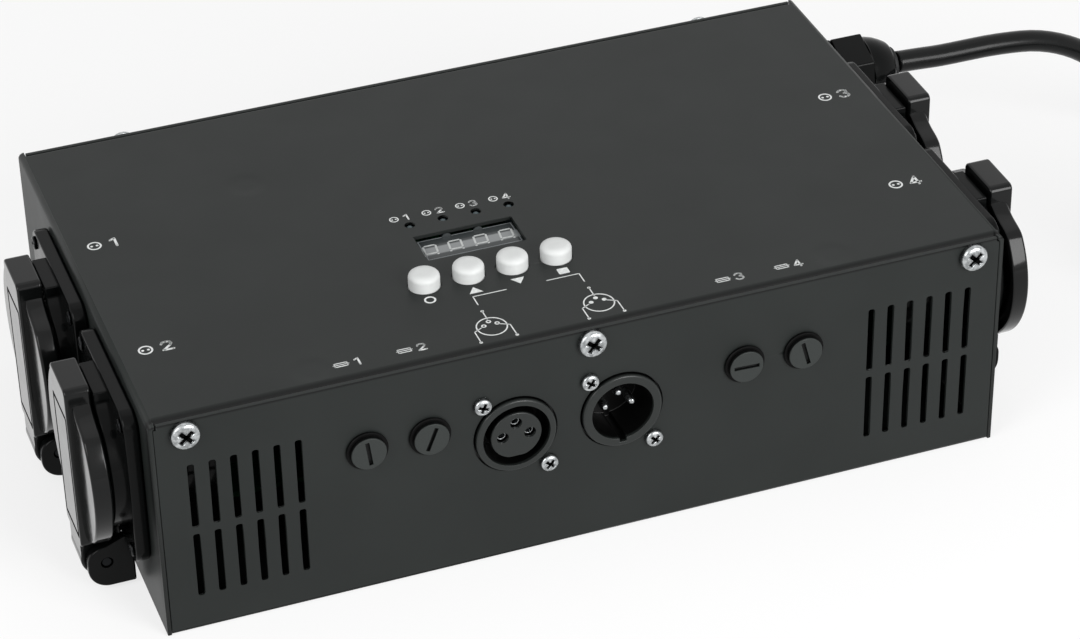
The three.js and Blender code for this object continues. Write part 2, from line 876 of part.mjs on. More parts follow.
// Fuse holder, cap and fuse, measured from the front panel's face and the holder's middle
const fuseBore = fuseRadius + runGap;
const capFront = -capProud;
const fuseFront = capFront + capSlotDepth + capFloor;
const holderGripStart = fuseFront + fuseLength - fuseGrip;

function fuseHolderSolid() {
  const body = turned("y", [
    [0, holderLength],
    [holderBarrel, holderLength],
    [holderBarrel, -seatGap],
    [holderFlange, -seatGap],
    [holderFlange, -holderFlangeProud],
    [0, -holderFlangeProud],
  ]);
  return cut(body, [
    rod("y", holderBore, [-holderFlangeProud - overrun, holderGripStart], [0, 0]),
    rod("y", fuseBore, [holderGripStart - overrun, holderLength - holderFloor], [0, 0], fineSteps),
  ]);
}

function fuseCapSolid() {
  const skirtEnd = capSkirtLength - holderFlangeProud;
  const headBack = -holderFlangeProud - seatGap;
  const edge = capSlotDepth / 4;
  const body = turned("y", [
    [0, skirtEnd],
    [capSkirt, skirtEnd],
    [capSkirt, headBack],
    [capHead, headBack],
    [capHead, capFront + edge],
    [capHead - edge, capFront],
    [0, capFront],
  ]);
  return cut(body, [
    rod("y", fuseBore, [fuseFront - seatGap, skirtEnd + overrun], [0, 0], fineSteps),
    block(
      [-capSlotWidth / 2, capSlotWidth / 2],
      [capFront - overrun, capFront + capSlotDepth],
      [-capHead, capHead],
    ),
  ]);
}

function fuses() {
  const holder = fuseHolderSolid();
  const cap = fuseCapSolid();
  const link = rod("y", fuseRadius, [fuseFront, fuseFront + fuseLength], [0, 0], fineSteps);
  return fuseXs.map((x, i) => {
    const group = new THREE.Group();
    group.position.set(x, frontFace, fuseHeight);
    const turnedCap = piece(`fuse_cap_${i + 1}`, cap, blackPlastic);
    turnedCap.rotation.y = THREE.MathUtils.degToRad(slotAngles[i]);
    group.add(
      piece(`fuse_holder_${i + 1}`, holder, blackPlastic),
      turnedCap,
      piece(`fuse_${i + 1}`, link, glassClear),
    );
    return group;
  });
}

// Button caps, measured from the cover's top face
const buttonCrownShares = [[0.72, 1], [0.9, 0.93], [1, 0.75]];
const plungerTop = controlTop + switchHeight;
function buttons() {
  const lipTop = -sheet - seatGap;
  const stemEnd = plungerTop + buttonTravel + runGap - caseHeight;
  const solid = turned("z", [
    [0, buttonProud],
    ...buttonCrownShares.map(([r, h]) => [r * buttonRadius, h * buttonProud]),
    [buttonRadius, lipTop],
    [buttonRadius + buttonLip, lipTop],
    [buttonRadius + buttonLip, lipTop - buttonLipThick],
    [buttonStem, lipTop - buttonLipThick],
    [buttonStem, stemEnd],
    [0, stemEnd],
  ]);
  return buttonXs.map((x, i) => {
    const cap = piece(`button_${i + 1}`, solid, whitePlastic);
    cap.position.set(x, buttonY, caseHeight);
    return cap;
  });
}

// Control board with its switches and lights
function controlBoardSolid() {
  const xs = [controlX - controlWidth / 2, controlX + controlWidth / 2];
  const ys = [controlFront, controlFront + controlDepth];
  const seat = controlTop - overlap;
  let board = block(xs, ys, [controlTop - boardThick, controlTop]);
  for (const x of buttonXs) {
    const half = switchSide / 2;
    const body = [seat, controlTop + switchBody];
    board = board.add(block([x - half, x + half], [buttonY - half, buttonY + half], body));
    board = board.add(rod("z", switchPlunger, [seat, plungerTop], [x, buttonY], fineSteps));
  }
  for (const x of lightXs) {
    board = board.add(rod("z", lightRadius, [seat, caseHeight - lightDip], [x, lightY], fineSteps));
  }
  const strip = [controlX - plugStripWidth / 2, controlX + plugStripWidth / 2];
  const stripFront = ys[1] - 2 * plugStripDepth;
  const under = [controlTop - boardThick - plugStripHeight, controlTop - boardThick + overlap];
  board = board.add(block(strip, [stripFront, stripFront + plugStripDepth], under));
  const through = [controlTop - boardThick - overrun, controlTop + overrun];
  const holes = postXs.flatMap((x) => postYs.map((y) =>
    rod("z", postTip + runGap, through, [x, y], fineSteps)));
  return cut(board, holes);
}

function displaySolid() {
  const halfWidth = windowWidth / 2 + displayMargin;
  const halfDepth = windowDepth / 2 + displayMargin;
  return block(
    [windowX - halfWidth, windowX + halfWidth],
    [windowY - halfDepth, windowY + halfDepth],
    [controlTop + seatGap, caseHeight - displayRecess],
  );
}

// Power board: terminal blocks, chokes and switching devices stand on it
const sinkFront = powerBack + deviceThick + seatGap;
function powerBoardSolid() {
  const seat = powerTop - overlap;
  let board = block([-powerHalf, powerHalf], [powerFront, powerBack], [powerBottom, powerTop]);
  const middle = (powerFront + powerBack) / 2;
  for (const side of [-1, 1]) {
    const xs = [side * terminalInner, side * (terminalInner + terminalWidth)];
    const ys = [middle - terminalDepth / 2, middle + terminalDepth / 2];
    board = board.add(block(xs.sort((p, q) => p - q), ys, [seat, powerTop + terminalHeight]));
  }
  for (const x of row(0, devicePitch, deviceCount)) {
    const reach = chokeRing + chokeWire;
    const ring = new THREE.TorusGeometry(chokeRing, chokeWire, chokeTubeSteps, chokeSteps);
    ring.rotateY(Math.PI / 2);
    ring.translate(x, powerFront + reach, powerTop + reach - overlap);
    board = board.add(solidOf(ring));
    const half = deviceWidth / 2;
    const foot = [powerBack - 2 * deviceThick, powerBack - deviceThick / 2];
    board = board.add(block([x - half / 2, x + half / 2], foot, [seat, powerTop + deviceThick]));
    const tab = [powerBack - deviceThick, powerBack + deviceThick];
    const rise = [powerTop + deviceThick - overlap, powerTop + deviceThick + deviceHeight];
    board = board.add(block([x - half, x + half], tab, rise));
  }
  return board;
}

function heatSinkSolid() {
  const left = -sinkLength / 2;
  const pitch = (sinkLength - sinkFinThick) / (sinkFinCount - 1);
  const base = [sheet + seatGap, sheet + seatGap + sinkHeight];
  let sink = block([left, -left], [sinkFront, sinkFront + sinkBase], base);
  for (let i = 0; i < sinkFinCount; i += 1) {
    const x = left + i * pitch;
    const depth = [sinkFront + sinkBase - overlap, sinkFront + sinkBase + sinkFinDepth];
    sink = sink.add(block([x, x + sinkFinThick], depth, base));
  }
  return sink;
}

function transformerSolid() {
  const y = powerFront + powerDepth * transformerShare;
  const bottom = powerTop + seatGap;
  const core = block(
    [transformerX - coreWidth / 2, transformerX + coreWidth / 2],
    [y - coreDepth / 2, y + coreDepth / 2],
    [bottom, bottom + coreHeight],
  );
  const middle = bottom + coreHeight / 2;
  return core.add(block(
    [transformerX - windingWidth / 2, transformerX + windingWidth / 2],
    [y - windingDepth / 2, y + windingDepth / 2],
    [middle - windingHeight / 2, middle + windingHeight / 2],
  ));
}

// Cable gland, measured outwards from the case's side
const domeShares = [[1, 0], [0.95, 0.35], [0.78, 0.75], [0.64, 1]];
function hexOutline(flats) {
  return arc(0, 0, flats / Math.sqrt(3), glandTurn, glandTurn + 300, 5);
}

function gland() {
  const body = cut(
    joined(
      prism("x", hexOutline(glandFlats), seatGap, glandBaseProud),
      rod("x", glandThread, [glandBaseProud - overlap, glandThreadProud], [0, 0]),
      rod("x", glandInner, [-glandInnerLength, glandBaseProud], [0, 0]),
    ),
    [rod("x", glandBore, [-glandInnerLength - overrun, glandThreadProud + overrun], [0, 0])],
  );
  const domeLength = glandDomeProud - glandNutProud;
  const dome = turned("x", [
    [0, glandNutProud - overlap],
    [domeRoot, glandNutProud - overlap],
    ...domeShares.map(([r, h]) => [r * domeRoot, glandNutProud + h * domeLength]),
    [0, glandDomeProud],
  ]);
  const nutBack = glandBaseProud + seatGap;
  const nut = cut(joined(prism("x", hexOutline(glandFlats), nutBack, glandNutProud), dome), [
    rod("x", glandThread + runGap, [nutBack - overrun, glandThreadProud + seatGap], [0, 0]),
    rod("x", glandSealRadius + runGap, [glandThreadProud - overrun, glandDomeProud + overrun], [0, 0]),
  ]);
  const seal = rod("x", glandSealRadius, [glandThreadProud + seatGap, glandSealProud], [0, 0]);
  const group = new THREE.Group();
  group.position.set(sideFace, glandY, glandHeight);
  group.add(
    piece("gland_body", body, blackPlastic),
    piece("gland_nut", nut, blackPlastic),
    piece("gland_seal", seal, rubberBlack),
  );
  return group;
}

// Free run of the mains lead, whose rises follow the gland's height
const riseShare = (glandHeight - cordRest) / cordRoute[0][1];
const cordPlaces = cordRoute.map(([reach, rise]) =>
  new THREE.Vector3(sideFace + reach, glandY, cordRest + rise * riseShare));
function cordRunSolid() {
  const path = new THREE.CatmullRomCurve3(cordPlaces);
  const round = arc(0, 0, cordDiameter / 2, 0, 360 - 360 / cordSides, cordSides - 1);
  const section = new THREE.Shape(round.map(([a, b]) => new THREE.Vector2(a, b)));
  return solidOf(new THREE.ExtrudeGeometry(section, { steps: cordSteps, extrudePath: path }));
}

// Coil: the lead spirals in on the lower layer, climbs where it reverses and spirals out above
const coilStart = cordPlaces[cordPlaces.length - 1].clone().add(new THREE.Vector3(seatGap, 0, 0));
const coilCentre = coilStart.clone().add(new THREE.Vector3(cordDiameter, -coilRadius, 0));
const coilTurns = 2 * coilTurnsPerLayer + coilClimbTurns;
const coilInner = coilRadius - coilTurnsPerLayer * coilRadialPitch;
const plugEdge = plugRadius / 12;
const plugShoulder = cordDiameter + seatGap + reliefLength + gripLength + 2 * plugEdge;
const plugTilt =
  Math.asin((floorClearance - coilStart.z - coilLayerPitch) / Math.hypot(plugShoulder, plugRadius)) +
  Math.atan2(plugRadius, plugShoulder);

function coilPlace(turn) {
  const climb = THREE.MathUtils.clamp((turn - coilTurnsPerLayer) / coilClimbTurns, 0, 1);
  let radius = coilInner - coilRadialPitch * coilClimbTurns * climb * (1 - climb);
  if (climb === 0) radius = coilRadius - turn * coilRadialPitch;
  if (climb === 1) radius = coilInner + (turn - coilTurnsPerLayer - coilClimbTurns) * coilRadialPitch;
  const angle = Math.PI / 2 - 2 * Math.PI * turn;
  const rise = coilLayerPitch * climb * climb * (3 - 2 * climb);
  return coilCentre.clone().add(new THREE.Vector3(radius * Math.cos(angle), radius * Math.sin(angle), rise));
}

const plugDirection = new THREE.Vector3(-Math.cos(plugTilt), 0, Math.sin(plugTilt));
function coilPath() {
  const path = [coilStart.clone()];
  const steps = Math.round(coilTurns * coilStepsPerTurn);
  for (let i = 0; i <= steps; i += 1) path.push(coilPlace((coilTurns * i) / steps));
  path.push(path[path.length - 1].clone().addScaledVector(plugDirection, cordDiameter));
  return path;
}

function tubeSolid(path, radius, sides) {
  const places = [];
  path.forEach((place, i) => {
    const before = path[Math.max(i - 1, 0)];
    const after = path[Math.min(i + 1, path.length - 1)];
    const along = after.clone().sub(before).normalize();
    const outward = new THREE.Vector3().crossVectors(along, upward).normalize();
    const above = new THREE.Vector3().crossVectors(outward, along);
    for (const [a, b] of arc(0, 0, radius, 0, 360 - 360 / sides, sides - 1)) {
      places.push(...place.clone().addScaledVector(outward, a).addScaledVector(above, b).toArray());
    }
  });
  const corners = [];
  for (let i = 0; i < path.length - 1; i += 1) {
    for (let j = 0; j < sides; j += 1) {
      const [p, q] = [i * sides + j, i * sides + ((j + 1) % sides)];
      corners.push(p, p + sides, q, q, p + sides, q + sides);
    }
  }
  const last = (path.length - 1) * sides;
  for (let j = 1; j < sides - 1; j += 1) {
    corners.push(0, j, j + 1, last, last + j + 1, last + j);
  }
  const tube = new THREE.BufferGeometry();
  tube.setAttribute("position", new THREE.BufferAttribute(new Float32Array(places), 3));
  tube.setIndex(corners);
  return solidOf(tube);
}

// Least gap of the coil to itself, between points more than half a turn apart
function leastCoilGap(path) {
  let least = Infinity;
  const apart = Math.round(coilStepsPerTurn / 2);
  for (let i = 0; i < path.length; i += 1) {
    for (let j = i + apart; j < path.length; j += 1) least = Math.min(least, path[i].distanceTo(path[j]));
  }
  return least - cordDiameter;
}

// Tie round the coil's right side, where both layers lie alike
function tieSolid() {
  const outer = coilRadius - coilRadialPitch / 4;
  const loops = Math.ceil(coilTurnsPerLayer);
  const half = cordDiameter / 2;
  const inX = [
    coilCentre.x + outer - (loops - 1) * coilRadialPitch - half - tieSlack,
    coilCentre.x + outer + half + tieSlack,
  ];
  const inZ = [coilStart.z - half - seatGap, coilStart.z + coilLayerPitch + half + seatGap];
  const outX = [inX[0] - tieThick, inX[1] + tieThick];
  const outZ = [inZ[0] - tieThick, inZ[1] + tieThick];
  const across = [coilCentre.y - tieWidth / 2, coilCentre.y + tieWidth / 2];
  const headX = [inX[1] + tieThick - overlap, inX[1] + tieHead];
  const band = joined(
    prism("y", roundedOutline(outX, outZ, tieCorner), ...across),
    block(headX, across, [outZ[0] + tieHead, outZ[0] + 2 * tieHead]),
  );
  const inside = roundedOutline(inX, inZ, tieCorner - tieThick);
  return band.subtract(prism("y", inside, across[0] - overrun, across[1] + overrun));
}

// Plug, from the cord's end along its own axis: tapered relief, grip, round face and two pins
const gripShares = [[0.72, 0.3], [1, 1]];
function plugSolid() {
  const gripStart = reliefLength;
  const bodyStart = gripStart + gripLength;
  const face = bodyStart + plugLength;
  const body = turned("x", [
    [0, 0],
    [reliefRoot, 0],
    [reliefEnd, gripStart],
    ...gripShares.map(([r, h]) => [r * gripRadius, gripStart + h * gripLength]),
    [plugRadius - plugEdge, bodyStart + plugEdge],
    [plugRadius, bodyStart + 2 * plugEdge],
    [plugRadius, face],
    [0, face],
  ], [0, 0], wideSteps);
  const pins = row(0, contactPitch, 2).map((z) =>
    rod("x", plugPin, [face - overlap, face + plugPinLength], [0, z], fineSteps));
  const earthCuts = [-1, 1].map((side) => {
    const ys = [side * (plugRadius - earthDepth), side * (plugRadius + overrun)].sort((p, q) => p - q);
    return block([bodyStart + 4 * plugEdge, face + overrun], ys, [-earthWidth / 2, earthWidth / 2]);
  });
  return cut(joined(body, ...pins), earthCuts);
}

function lead() {
  const path = coilPath();
  console.log(`least gap of the coil to itself: ${leastCoilGap(path).toFixed(2)} mm`);
  const plug = piece("plug", plugSolid(), satinPlastic);
  plug.position.copy(path[path.length - 1]).addScaledVector(plugDirection, seatGap);
  plug.rotation.y = Math.PI + plugTilt;
  return [
    piece("cord_run", cordRunSolid(), cordBlack),
    piece("cord_coil", tubeSolid(path, cordDiameter / 2, coilSides), cordBlack),
    piece("coil_tie", tieSolid(), satinPlastic),
    plug,
  ];
}

const dimmerPack = new THREE.Group();
dimmerPack.add(
  piece("chassis", chassisSolid(), caseBlack),
  piece("top_cover", coverSolid(), caseBlack),
  ...coverScrews(),
  ...sockets(),
  ...dataSockets(),
  ...fuses(),
  ...buttons(),
  piece("control_board", controlBoardSolid(), boardGreen),
  piece("display_module", displaySolid(), displayGrey),
  piece("power_board", powerBoardSolid(), boardGreen),
  piece("heat_sink", heatSinkSolid(), aluminium),
  piece("transformer", transformerSolid(), springSteel),
  gland(),
  ...lead(),
);

export default dimmerPack;
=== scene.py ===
"""Looks of the four-channel dimmer pack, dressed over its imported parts.

Shapes are drawn in millimetres and go to metres when a piece is finished.
+X is to the right seen from the front, +Y to the back, +Z up. The origin lies under the case's middle.
"""

import math
from contextlib import contextmanager

import bmesh
import bpy
from mathutils import Matrix, Vector


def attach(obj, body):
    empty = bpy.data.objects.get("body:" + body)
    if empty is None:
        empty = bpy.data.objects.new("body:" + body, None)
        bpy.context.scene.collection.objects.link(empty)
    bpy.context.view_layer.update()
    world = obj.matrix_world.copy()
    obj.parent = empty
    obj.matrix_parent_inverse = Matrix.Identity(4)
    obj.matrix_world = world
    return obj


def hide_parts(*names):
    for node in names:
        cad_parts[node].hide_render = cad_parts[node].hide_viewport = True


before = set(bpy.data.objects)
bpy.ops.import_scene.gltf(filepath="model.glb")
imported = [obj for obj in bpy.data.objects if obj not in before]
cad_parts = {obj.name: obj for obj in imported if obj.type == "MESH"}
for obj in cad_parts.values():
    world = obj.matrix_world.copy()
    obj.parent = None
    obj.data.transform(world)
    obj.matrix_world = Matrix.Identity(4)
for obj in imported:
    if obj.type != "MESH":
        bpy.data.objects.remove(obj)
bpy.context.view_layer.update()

MM = 0.001
HALF_TURN = Matrix.Rotation(math.pi, 4, "Z")
CREASE = math.radians(32)
SIDES = (-1, 1)

# Case
SIDE, FRONT, BACK, TOP = 125.0, -74.0, 74.0, 71.0
SHEET, GAP = 1.2, 0.3
TRAY_BEND, COVER_BEND, LIP_BEND, REAR_BEND = 1.5, 1.8, 2.4, 1.4
TRAY_HALF, PANEL_TOP = 123.65, 70.7
LIP_FACE, LIP_HALF, LIP_BOTTOM = 72.5, 122.0, 57.8
RETURN_DEPTH = 10.0
SCREW_Z, FRONT_SCREWS, BACK_SCREWS = 66.4, (-115.3, 0.0, 115.3), (-93.0, 93.0)
WELD_SPOTS = ((-77.0, -65.0), (76.0, -65.0), (-67.0, 32.0))

# Places on the front panel and on the cover
DATA_Z, DATA_XS, DATA_SCREW = 41.45, (-22.7, 8.7), (9.5, 12.0)
FUSE_Z, FUSE_XS, SLOT_ANGLES = 47.6, (-65.5, -47.5, 45.5, 63.5), (-7, 22, -88, -15)
BUTTON_XS, BUTTON_Y = (-35.645, -22.615, -9.585, 3.445), -37.05
LIGHT_XS, LIGHT_Y = (-29.6, -19.6, -9.6, 0.4), -6.3
DIGIT_XS = (-27.5, -20.0, -12.4, -4.7)
WINDOW_X, WINDOW_Y, WINDOW_HALF = -15.9, -19.15, (14.825, 6.65)
GLAND_Y, GLAND_Z, GLAND_TURN = 57.0, 51.0, 21.0
CONTROL_TOP, DISPLAY_TOP, POWER_TOP = 60.3, 68.9, 9.6
STUD_XS, STUD_YS = (-41.0, 11.0), (-46.0, 1.0)
SOCKET_Z, SOCKET_YS = 42.3, (-39.0, 16.0)


# ---------------------------------------------------------------- camera, floor and light

def added(name, data):
    """A new object in the scene from its mesh, lamp or lens."""
    made = bpy.data.objects.new(name, data)
    bpy.context.scene.collection.objects.link(made)
    return made


@contextmanager
def opened(mesh):
    """The mesh opened for work and written back after it."""
    bm = bmesh.new()
    bm.from_mesh(mesh)
    yield bm
    bm.to_mesh(mesh)
    bm.free()


def add_camera():
    """The photo's own view, worked out from the case's corners, screws and slots."""
    right = Vector((0.93790, -0.34647, -0.01745))
    down = Vector((-0.20861, -0.52311, -0.82634))
    forward = Vector((0.27717, 0.77866, -0.56290))
    turn = Matrix((right, -down, -forward)).transposed().to_4x4()
    lens = bpy.data.cameras.new("photo_camera")
    lens.lens, lens.sensor_width = 116.33, 36.0
    lens.clip_start, lens.clip_end = 0.01, 20.0
    camera = added("photo_camera", lens)
    camera.matrix_world = Matrix.Translation(Vector((-276.51, -809.13, 608.96)) * MM) @ turn
    bpy.context.scene.camera = camera


def linear(code):
    """An sRGB hex colour as the linear values that Blender's sockets take."""
    parts = [int(code[i:i + 2], 16) / 255 for i in (1, 3, 5)]
    parts = [c / 12.92 if c <= 0.04045 else ((c + 0.055) / 1.055) ** 2.4 for c in parts]
    return (*parts, 1.0)


def put(tree, kind, inputs=None, **settings):
    """Adds a node with its settings; an input takes a value, or the socket to link from."""
    made = tree.nodes.new(kind)
    for name, value in settings.items():
        setattr(made, name, value)
    for name, value in (inputs or {}).items():
        if isinstance(value, bpy.types.NodeSocket):
            tree.links.new(value, made.inputs[name])
        else:
            made.inputs[name].default_value = value
    return made


def bare_tree(owner):
    """The emptied node tree of a world or a material."""
    owner.use_nodes = True
    owner.node_tree.nodes.clear()
    return owner.node_tree


def in_view(tree):
    """1 for what the camera sees, also through glass and in a gloss, and 0 for the light that falls."""
    path = put(tree, "ShaderNodeLightPath").outputs
    seen = path["Is Camera Ray"]
    for kind in ("Is Transmission Ray", "Is Glossy Ray"):
        seen = put(tree, "ShaderNodeMath", {0: seen, 1: path[kind]}, operation="MAXIMUM").outputs[0]
    return seen


def add_light():
    """Soft studio light: a wide box low over the front right, weaker ones left and above, pale all round."""
    world = bpy.data.worlds.new("studio")
    tree = bare_tree(world)
    fill, backdrop = (put(tree, "ShaderNodeBackground", {"Color": linear("#ffffff"), "Strength": strength})
                      for strength in (0.45, 1.0))
    mixed = put(tree, "ShaderNodeMixShader", {0: in_view(tree), 1: fill.outputs[0], 2: backdrop.outputs[0]})
    put(tree, "ShaderNodeOutputWorld", {"Surface": mixed.outputs[0]})
    bpy.context.scene.world = world
    middle = Vector((0.0, 0.0, 0.04))
    for name, place, size, power in (("front_right_box", (0.5, -1.15, 0.55), 0.8, 14.5),
                                     ("left_box", (-0.95, -0.55, 0.7), 0.7, 6.0),
                                     ("top_box", (0.3, 0.3, 1.25), 0.9, 0.6)):
        lamp = bpy.data.lights.new(name, "AREA")
        lamp.shape, lamp.size, lamp.energy = "DISK", size, power
        holder = added(name, lamp)
        holder.location = place
        holder.rotation_mode = "QUATERNION"
        holder.rotation_quaternion = (middle - holder.location).to_track_quat("-Z", "Y")


def add_floor():
    """A plain white table. Part of its white is its own in view, and the rest keeps the pack's soft shadow."""
    half_width, own_share, own_white = 6.0, 0.72, 1.03
    mesh = bpy.data.meshes.new("floor")
    with opened(mesh) as bm:
        bmesh.ops.create_grid(bm, x_segments=1, y_segments=1, size=half_width)
    finish = bpy.data.materials.new("white_table")
    tree = bare_tree(finish)
    share = put(tree, "ShaderNodeMath", {0: in_view(tree), 1: own_share}, operation="MULTIPLY")
    lit = put(tree, "ShaderNodeBsdfDiffuse", {"Color": linear("#fafafa")})
    glow = put(tree, "ShaderNodeEmission", {"Color": linear("#ffffff"), "Strength": own_white})
    mixed = put(tree, "ShaderNodeMixShader", {0: share.outputs[0], 1: lit.outputs[0], 2: glow.outputs[0]})
    put(tree, "ShaderNodeOutputMaterial", {"Surface": mixed.outputs[0]})
    mesh.materials.append(finish)
    added("floor", mesh)


# ---------------------------------------------------------------- finishes

def object_place(tree):
    return put(tree, "ShaderNodeTexCoord").outputs["Object"]


def lumps(tree, size, detail, stretch=None):
    """Noise over a piece, its lumps size millimetres wide and longer where the stretch is small."""
    place = object_place(tree)
    if stretch:
        place = put(tree, "ShaderNodeMapping", {"Vector": place, "Scale": stretch}).outputs[0]
    noise = put(tree, "ShaderNodeTexNoise", {"Vector": place, "Scale": 1 / (size * MM), "Detail": detail})
    return noise.outputs["Fac"]


def drifting(tree, shader, dark, light, size):
    """Slight drift of the colour between two, over size millimetres."""
    ramp = put(tree, "ShaderNodeValToRGB", {"Fac": lumps(tree, size, 3.0)})
    for stop, position, colour in zip(ramp.color_ramp.elements, (0.35, 0.65), (dark, light)):
        stop.position, stop.color = position, linear(colour)
    tree.links.new(ramp.outputs[0], shader.inputs["Base Color"])


def clouded(tree, shader, low, high, size):
    """Roughness that wanders between low and high, over size millimetres."""
    spread = put(tree, "ShaderNodeMapRange", {"Value": lumps(tree, size, 3.0), "From Min": 0.3, "From Max": 0.7,
                                              "To Min": low, "To Max": high})
    tree.links.new(spread.outputs[0], shader.inputs["Roughness"])


def grain(tree, shader, size, depth, stretch=None):
    """A fine relief, its lumps size millimetres wide and depth millimetres high."""
    relief = put(tree, "ShaderNodeBump", {"Height": lumps(tree, size, 2.0, stretch), "Distance": depth * MM})
    tree.links.new(relief.outputs[0], shader.inputs["Normal"])
    return relief


def recoloured(tree, shader, share, colour):
    """Takes the base colour over to another by a share from 0 to 1."""
    base = shader.inputs["Base Color"]
    before = base.links[0].from_socket if base.links else tuple(base.default_value)
    mixed = put(tree, "ShaderNodeMix", {"Factor": share.outputs[0], 6: before, 7: linear(colour)}, data_type="RGBA")
    tree.links.new(mixed.outputs[2], base)


def base_finish(name, colour, roughness, metal=0.0, specular=0.5, coat=0.0, coat_roughness=0.1, coat_ior=1.5,
                drift=None, clouds=None, relief=None):
    """A finish, its nodes and its shader. Drift, clouds and relief hold what the three functions above take."""
    finish = bpy.data.materials.new(name)
    tree = bare_tree(finish)
    shader = put(tree, "ShaderNodeBsdfPrincipled", {
        "Base Color": linear(colour), "Roughness": roughness, "Metallic": metal, "Specular IOR Level": specular,
        "Coat Weight": coat, "Coat Roughness": coat_roughness, "Coat IOR": coat_ior})
    put(tree, "ShaderNodeOutputMaterial", {"Surface": shader.outputs[0]})
    for work, values in ((drifting, drift), (clouded, clouds), (grain, relief)):
        if values:
            work(tree, shader, *values)
    return finish, tree, shader


def powder_coated_steel():
    """Black powder coat on folded steel: satin, fine pebble, three faint weld dents, with painted shade in the
    cover's front bend and under the front panel's top edge, and a painted highlight on that edge.
    """
    finish, tree, shader = base_finish("powder_coated_steel", "#1f2221", 0.44, specular=0.2,
                                       drift=("#1c1f1e", "#1f2221", 38.0), clouds=(0.42, 0.46, 14.0))
    place = object_place(tree)
    split = put(tree, "ShaderNodeSeparateXYZ", {"Vector": place}).outputs
    behind = put(tree, "ShaderNodeMath", {0: split["Y"], 1: (FRONT + SHEET + 0.1) * MM}, operation="GREATER_THAN")
    before = put(tree, "ShaderNodeMath", {0: 1.0, 1: behind.outputs[0]}, operation="SUBTRACT")
    # Painted light: shade painted into the cover's front bend and just under the front panel's top edge, and a
    # highlight painted along that edge.
    for way, start, end, side, colour in (("Y", FRONT + 3.8, FRONT + LIP_BEND, behind, "#030404"),
                                          ("Z", PANEL_TOP - 0.9, PANEL_TOP - 0.5, before, "#060707"),
                                          ("Z", PANEL_TOP - 0.2, PANEL_TOP - 0.1, before, "#202322")):
        band = put(tree, "ShaderNodeMapRange", {"Value": split[way], "From Min": start * MM, "From Max": end * MM})
        band = put(tree, "ShaderNodeMath", {0: band.outputs[0], 1: side.outputs[0]}, operation="MULTIPLY")
        recoloured(tree, shader, band, colour)
    nearest = None
    for x, y in WELD_SPOTS:
        away = put(tree, "ShaderNodeVectorMath", {0: place, 1: (x * MM, y * MM, TOP * MM)}, operation="DISTANCE")
        away = away.outputs["Value"]
        if nearest is not None:
            away = put(tree, "ShaderNodeMath", {0: nearest, 1: away}, operation="MINIMUM").outputs[0]
        nearest = away
    dent = put(tree, "ShaderNodeMapRange", {"Value": nearest, "From Min": 2.0 * MM, "From Max": 7.5 * MM},
               interpolation_type="SMOOTHERSTEP")
    pebble = grain(tree, shader, 0.9, 0.012)
    dented = put(tree, "ShaderNodeBump", {"Height": dent.outputs[0], "Distance": 0.12 * MM,
                                          "Normal": pebble.outputs[0]})
    tree.links.new(dented.outputs[0], shader.inputs["Normal"])
    return finish


def nylon_with_painted_tone(name, colour, roughness, specular, depth, limit, side, other):
    """Moulded nylon that takes a painted tone on one side of a limit across the front panel: painted shade behind it,
    or painted light in front of it.
    """
    finish, tree, shader = base_finish(name, colour, roughness, specular=specular, relief=(0.4, depth))
    place = put(tree, "ShaderNodeSeparateXYZ", {"Vector": object_place(tree)})
    there = put(tree, "ShaderNodeMath", {0: place.outputs["Y"], 1: limit * MM}, operation=side)
    recoloured(tree, shader, there, other)
    return finish


def circuit_laminate(name, board_top):
    """Green solder mask on glass laminate; what stands on the board is dark moulded casing."""
    finish, tree, shader = base_finish(name, "#1f5b37", 0.4, relief=(0.8, 0.01))
    place = object_place(tree)
    tracks = put(tree, "ShaderNodeTexBrick", {
        "Vector": place, "Color1": linear("#1c5733"), "Color2": linear("#236540"), "Mortar": linear("#184a2c"),
        "Scale": 1.0, "Mortar Size": 0.3 * MM, "Brick Width": 7.0 * MM, "Row Height": 1.5 * MM})
    tree.links.new(tracks.outputs["Color"], shader.inputs["Base Color"])
    height = put(tree, "ShaderNodeSeparateXYZ", {"Vector": place}).outputs["Z"]
    over = put(tree, "ShaderNodeMath", {0: height, 1: (board_top + 0.05) * MM}, operation="GREATER_THAN")
    recoloured(tree, shader, over, "#1b1d1e")
    return finish


def transformer_iron():
    """Stacked iron sheets with a taped winding: an edge every two millimetres, in varnished grey."""
    finish, tree, shader = base_finish("transformer_iron", "#5c6064", 0.45, metal=0.6,
                                       drift=("#54585c", "#666a6e", 5.0))
    sheets = put(tree, "ShaderNodeTexWave", {"Vector": object_place(tree), "Scale": 1 / (math.tau * MM)},
                 bands_direction="Y")
    relief = put(tree, "ShaderNodeBump", {"Height": sheets.outputs["Fac"], "Distance": 0.06 * MM})
    tree.links.new(relief.outputs[0], shader.inputs["Normal"])
    return finish


def smoked_acrylic():
    """Smoked filter over the digits: dark grey and flat, with a pale band painted across it as a reflection."""
    finish, tree, shader = base_finish("smoked_acrylic", "#3b3f40", 0.16, specular=0.3, relief=(6.0, 0.004))
    depth = put(tree, "ShaderNodeSeparateXYZ", {"Vector": object_place(tree)}).outputs["Y"]
    # A painted reflection: a pale band across the filter.
    low, high = (put(tree, "ShaderNodeMapRange", {"Value": depth, "From Min": start * MM, "From Max": end * MM})
                 for start, end in ((-20.6, -20.0), (-16.3, -16.9)))
    band = put(tree, "ShaderNodeMath", {0: low.outputs[0], 1: high.outputs[0]}, operation="MULTIPLY")
    recoloured(tree, shader, band, "#8b8e8f")
    return finish


def fuse_glass():
    """Drawn glass tube of the fuse links: clear with a faint green."""
    finish, tree, shader = base_finish("fuse_glass", "#eef5f3", 0.03, relief=(4.0, 0.002))
    shader.inputs["Transmission Weight"].default_value = 0.92
    shader.inputs["IOR"].default_value = 1.5
    return finish


FINISHES = {}


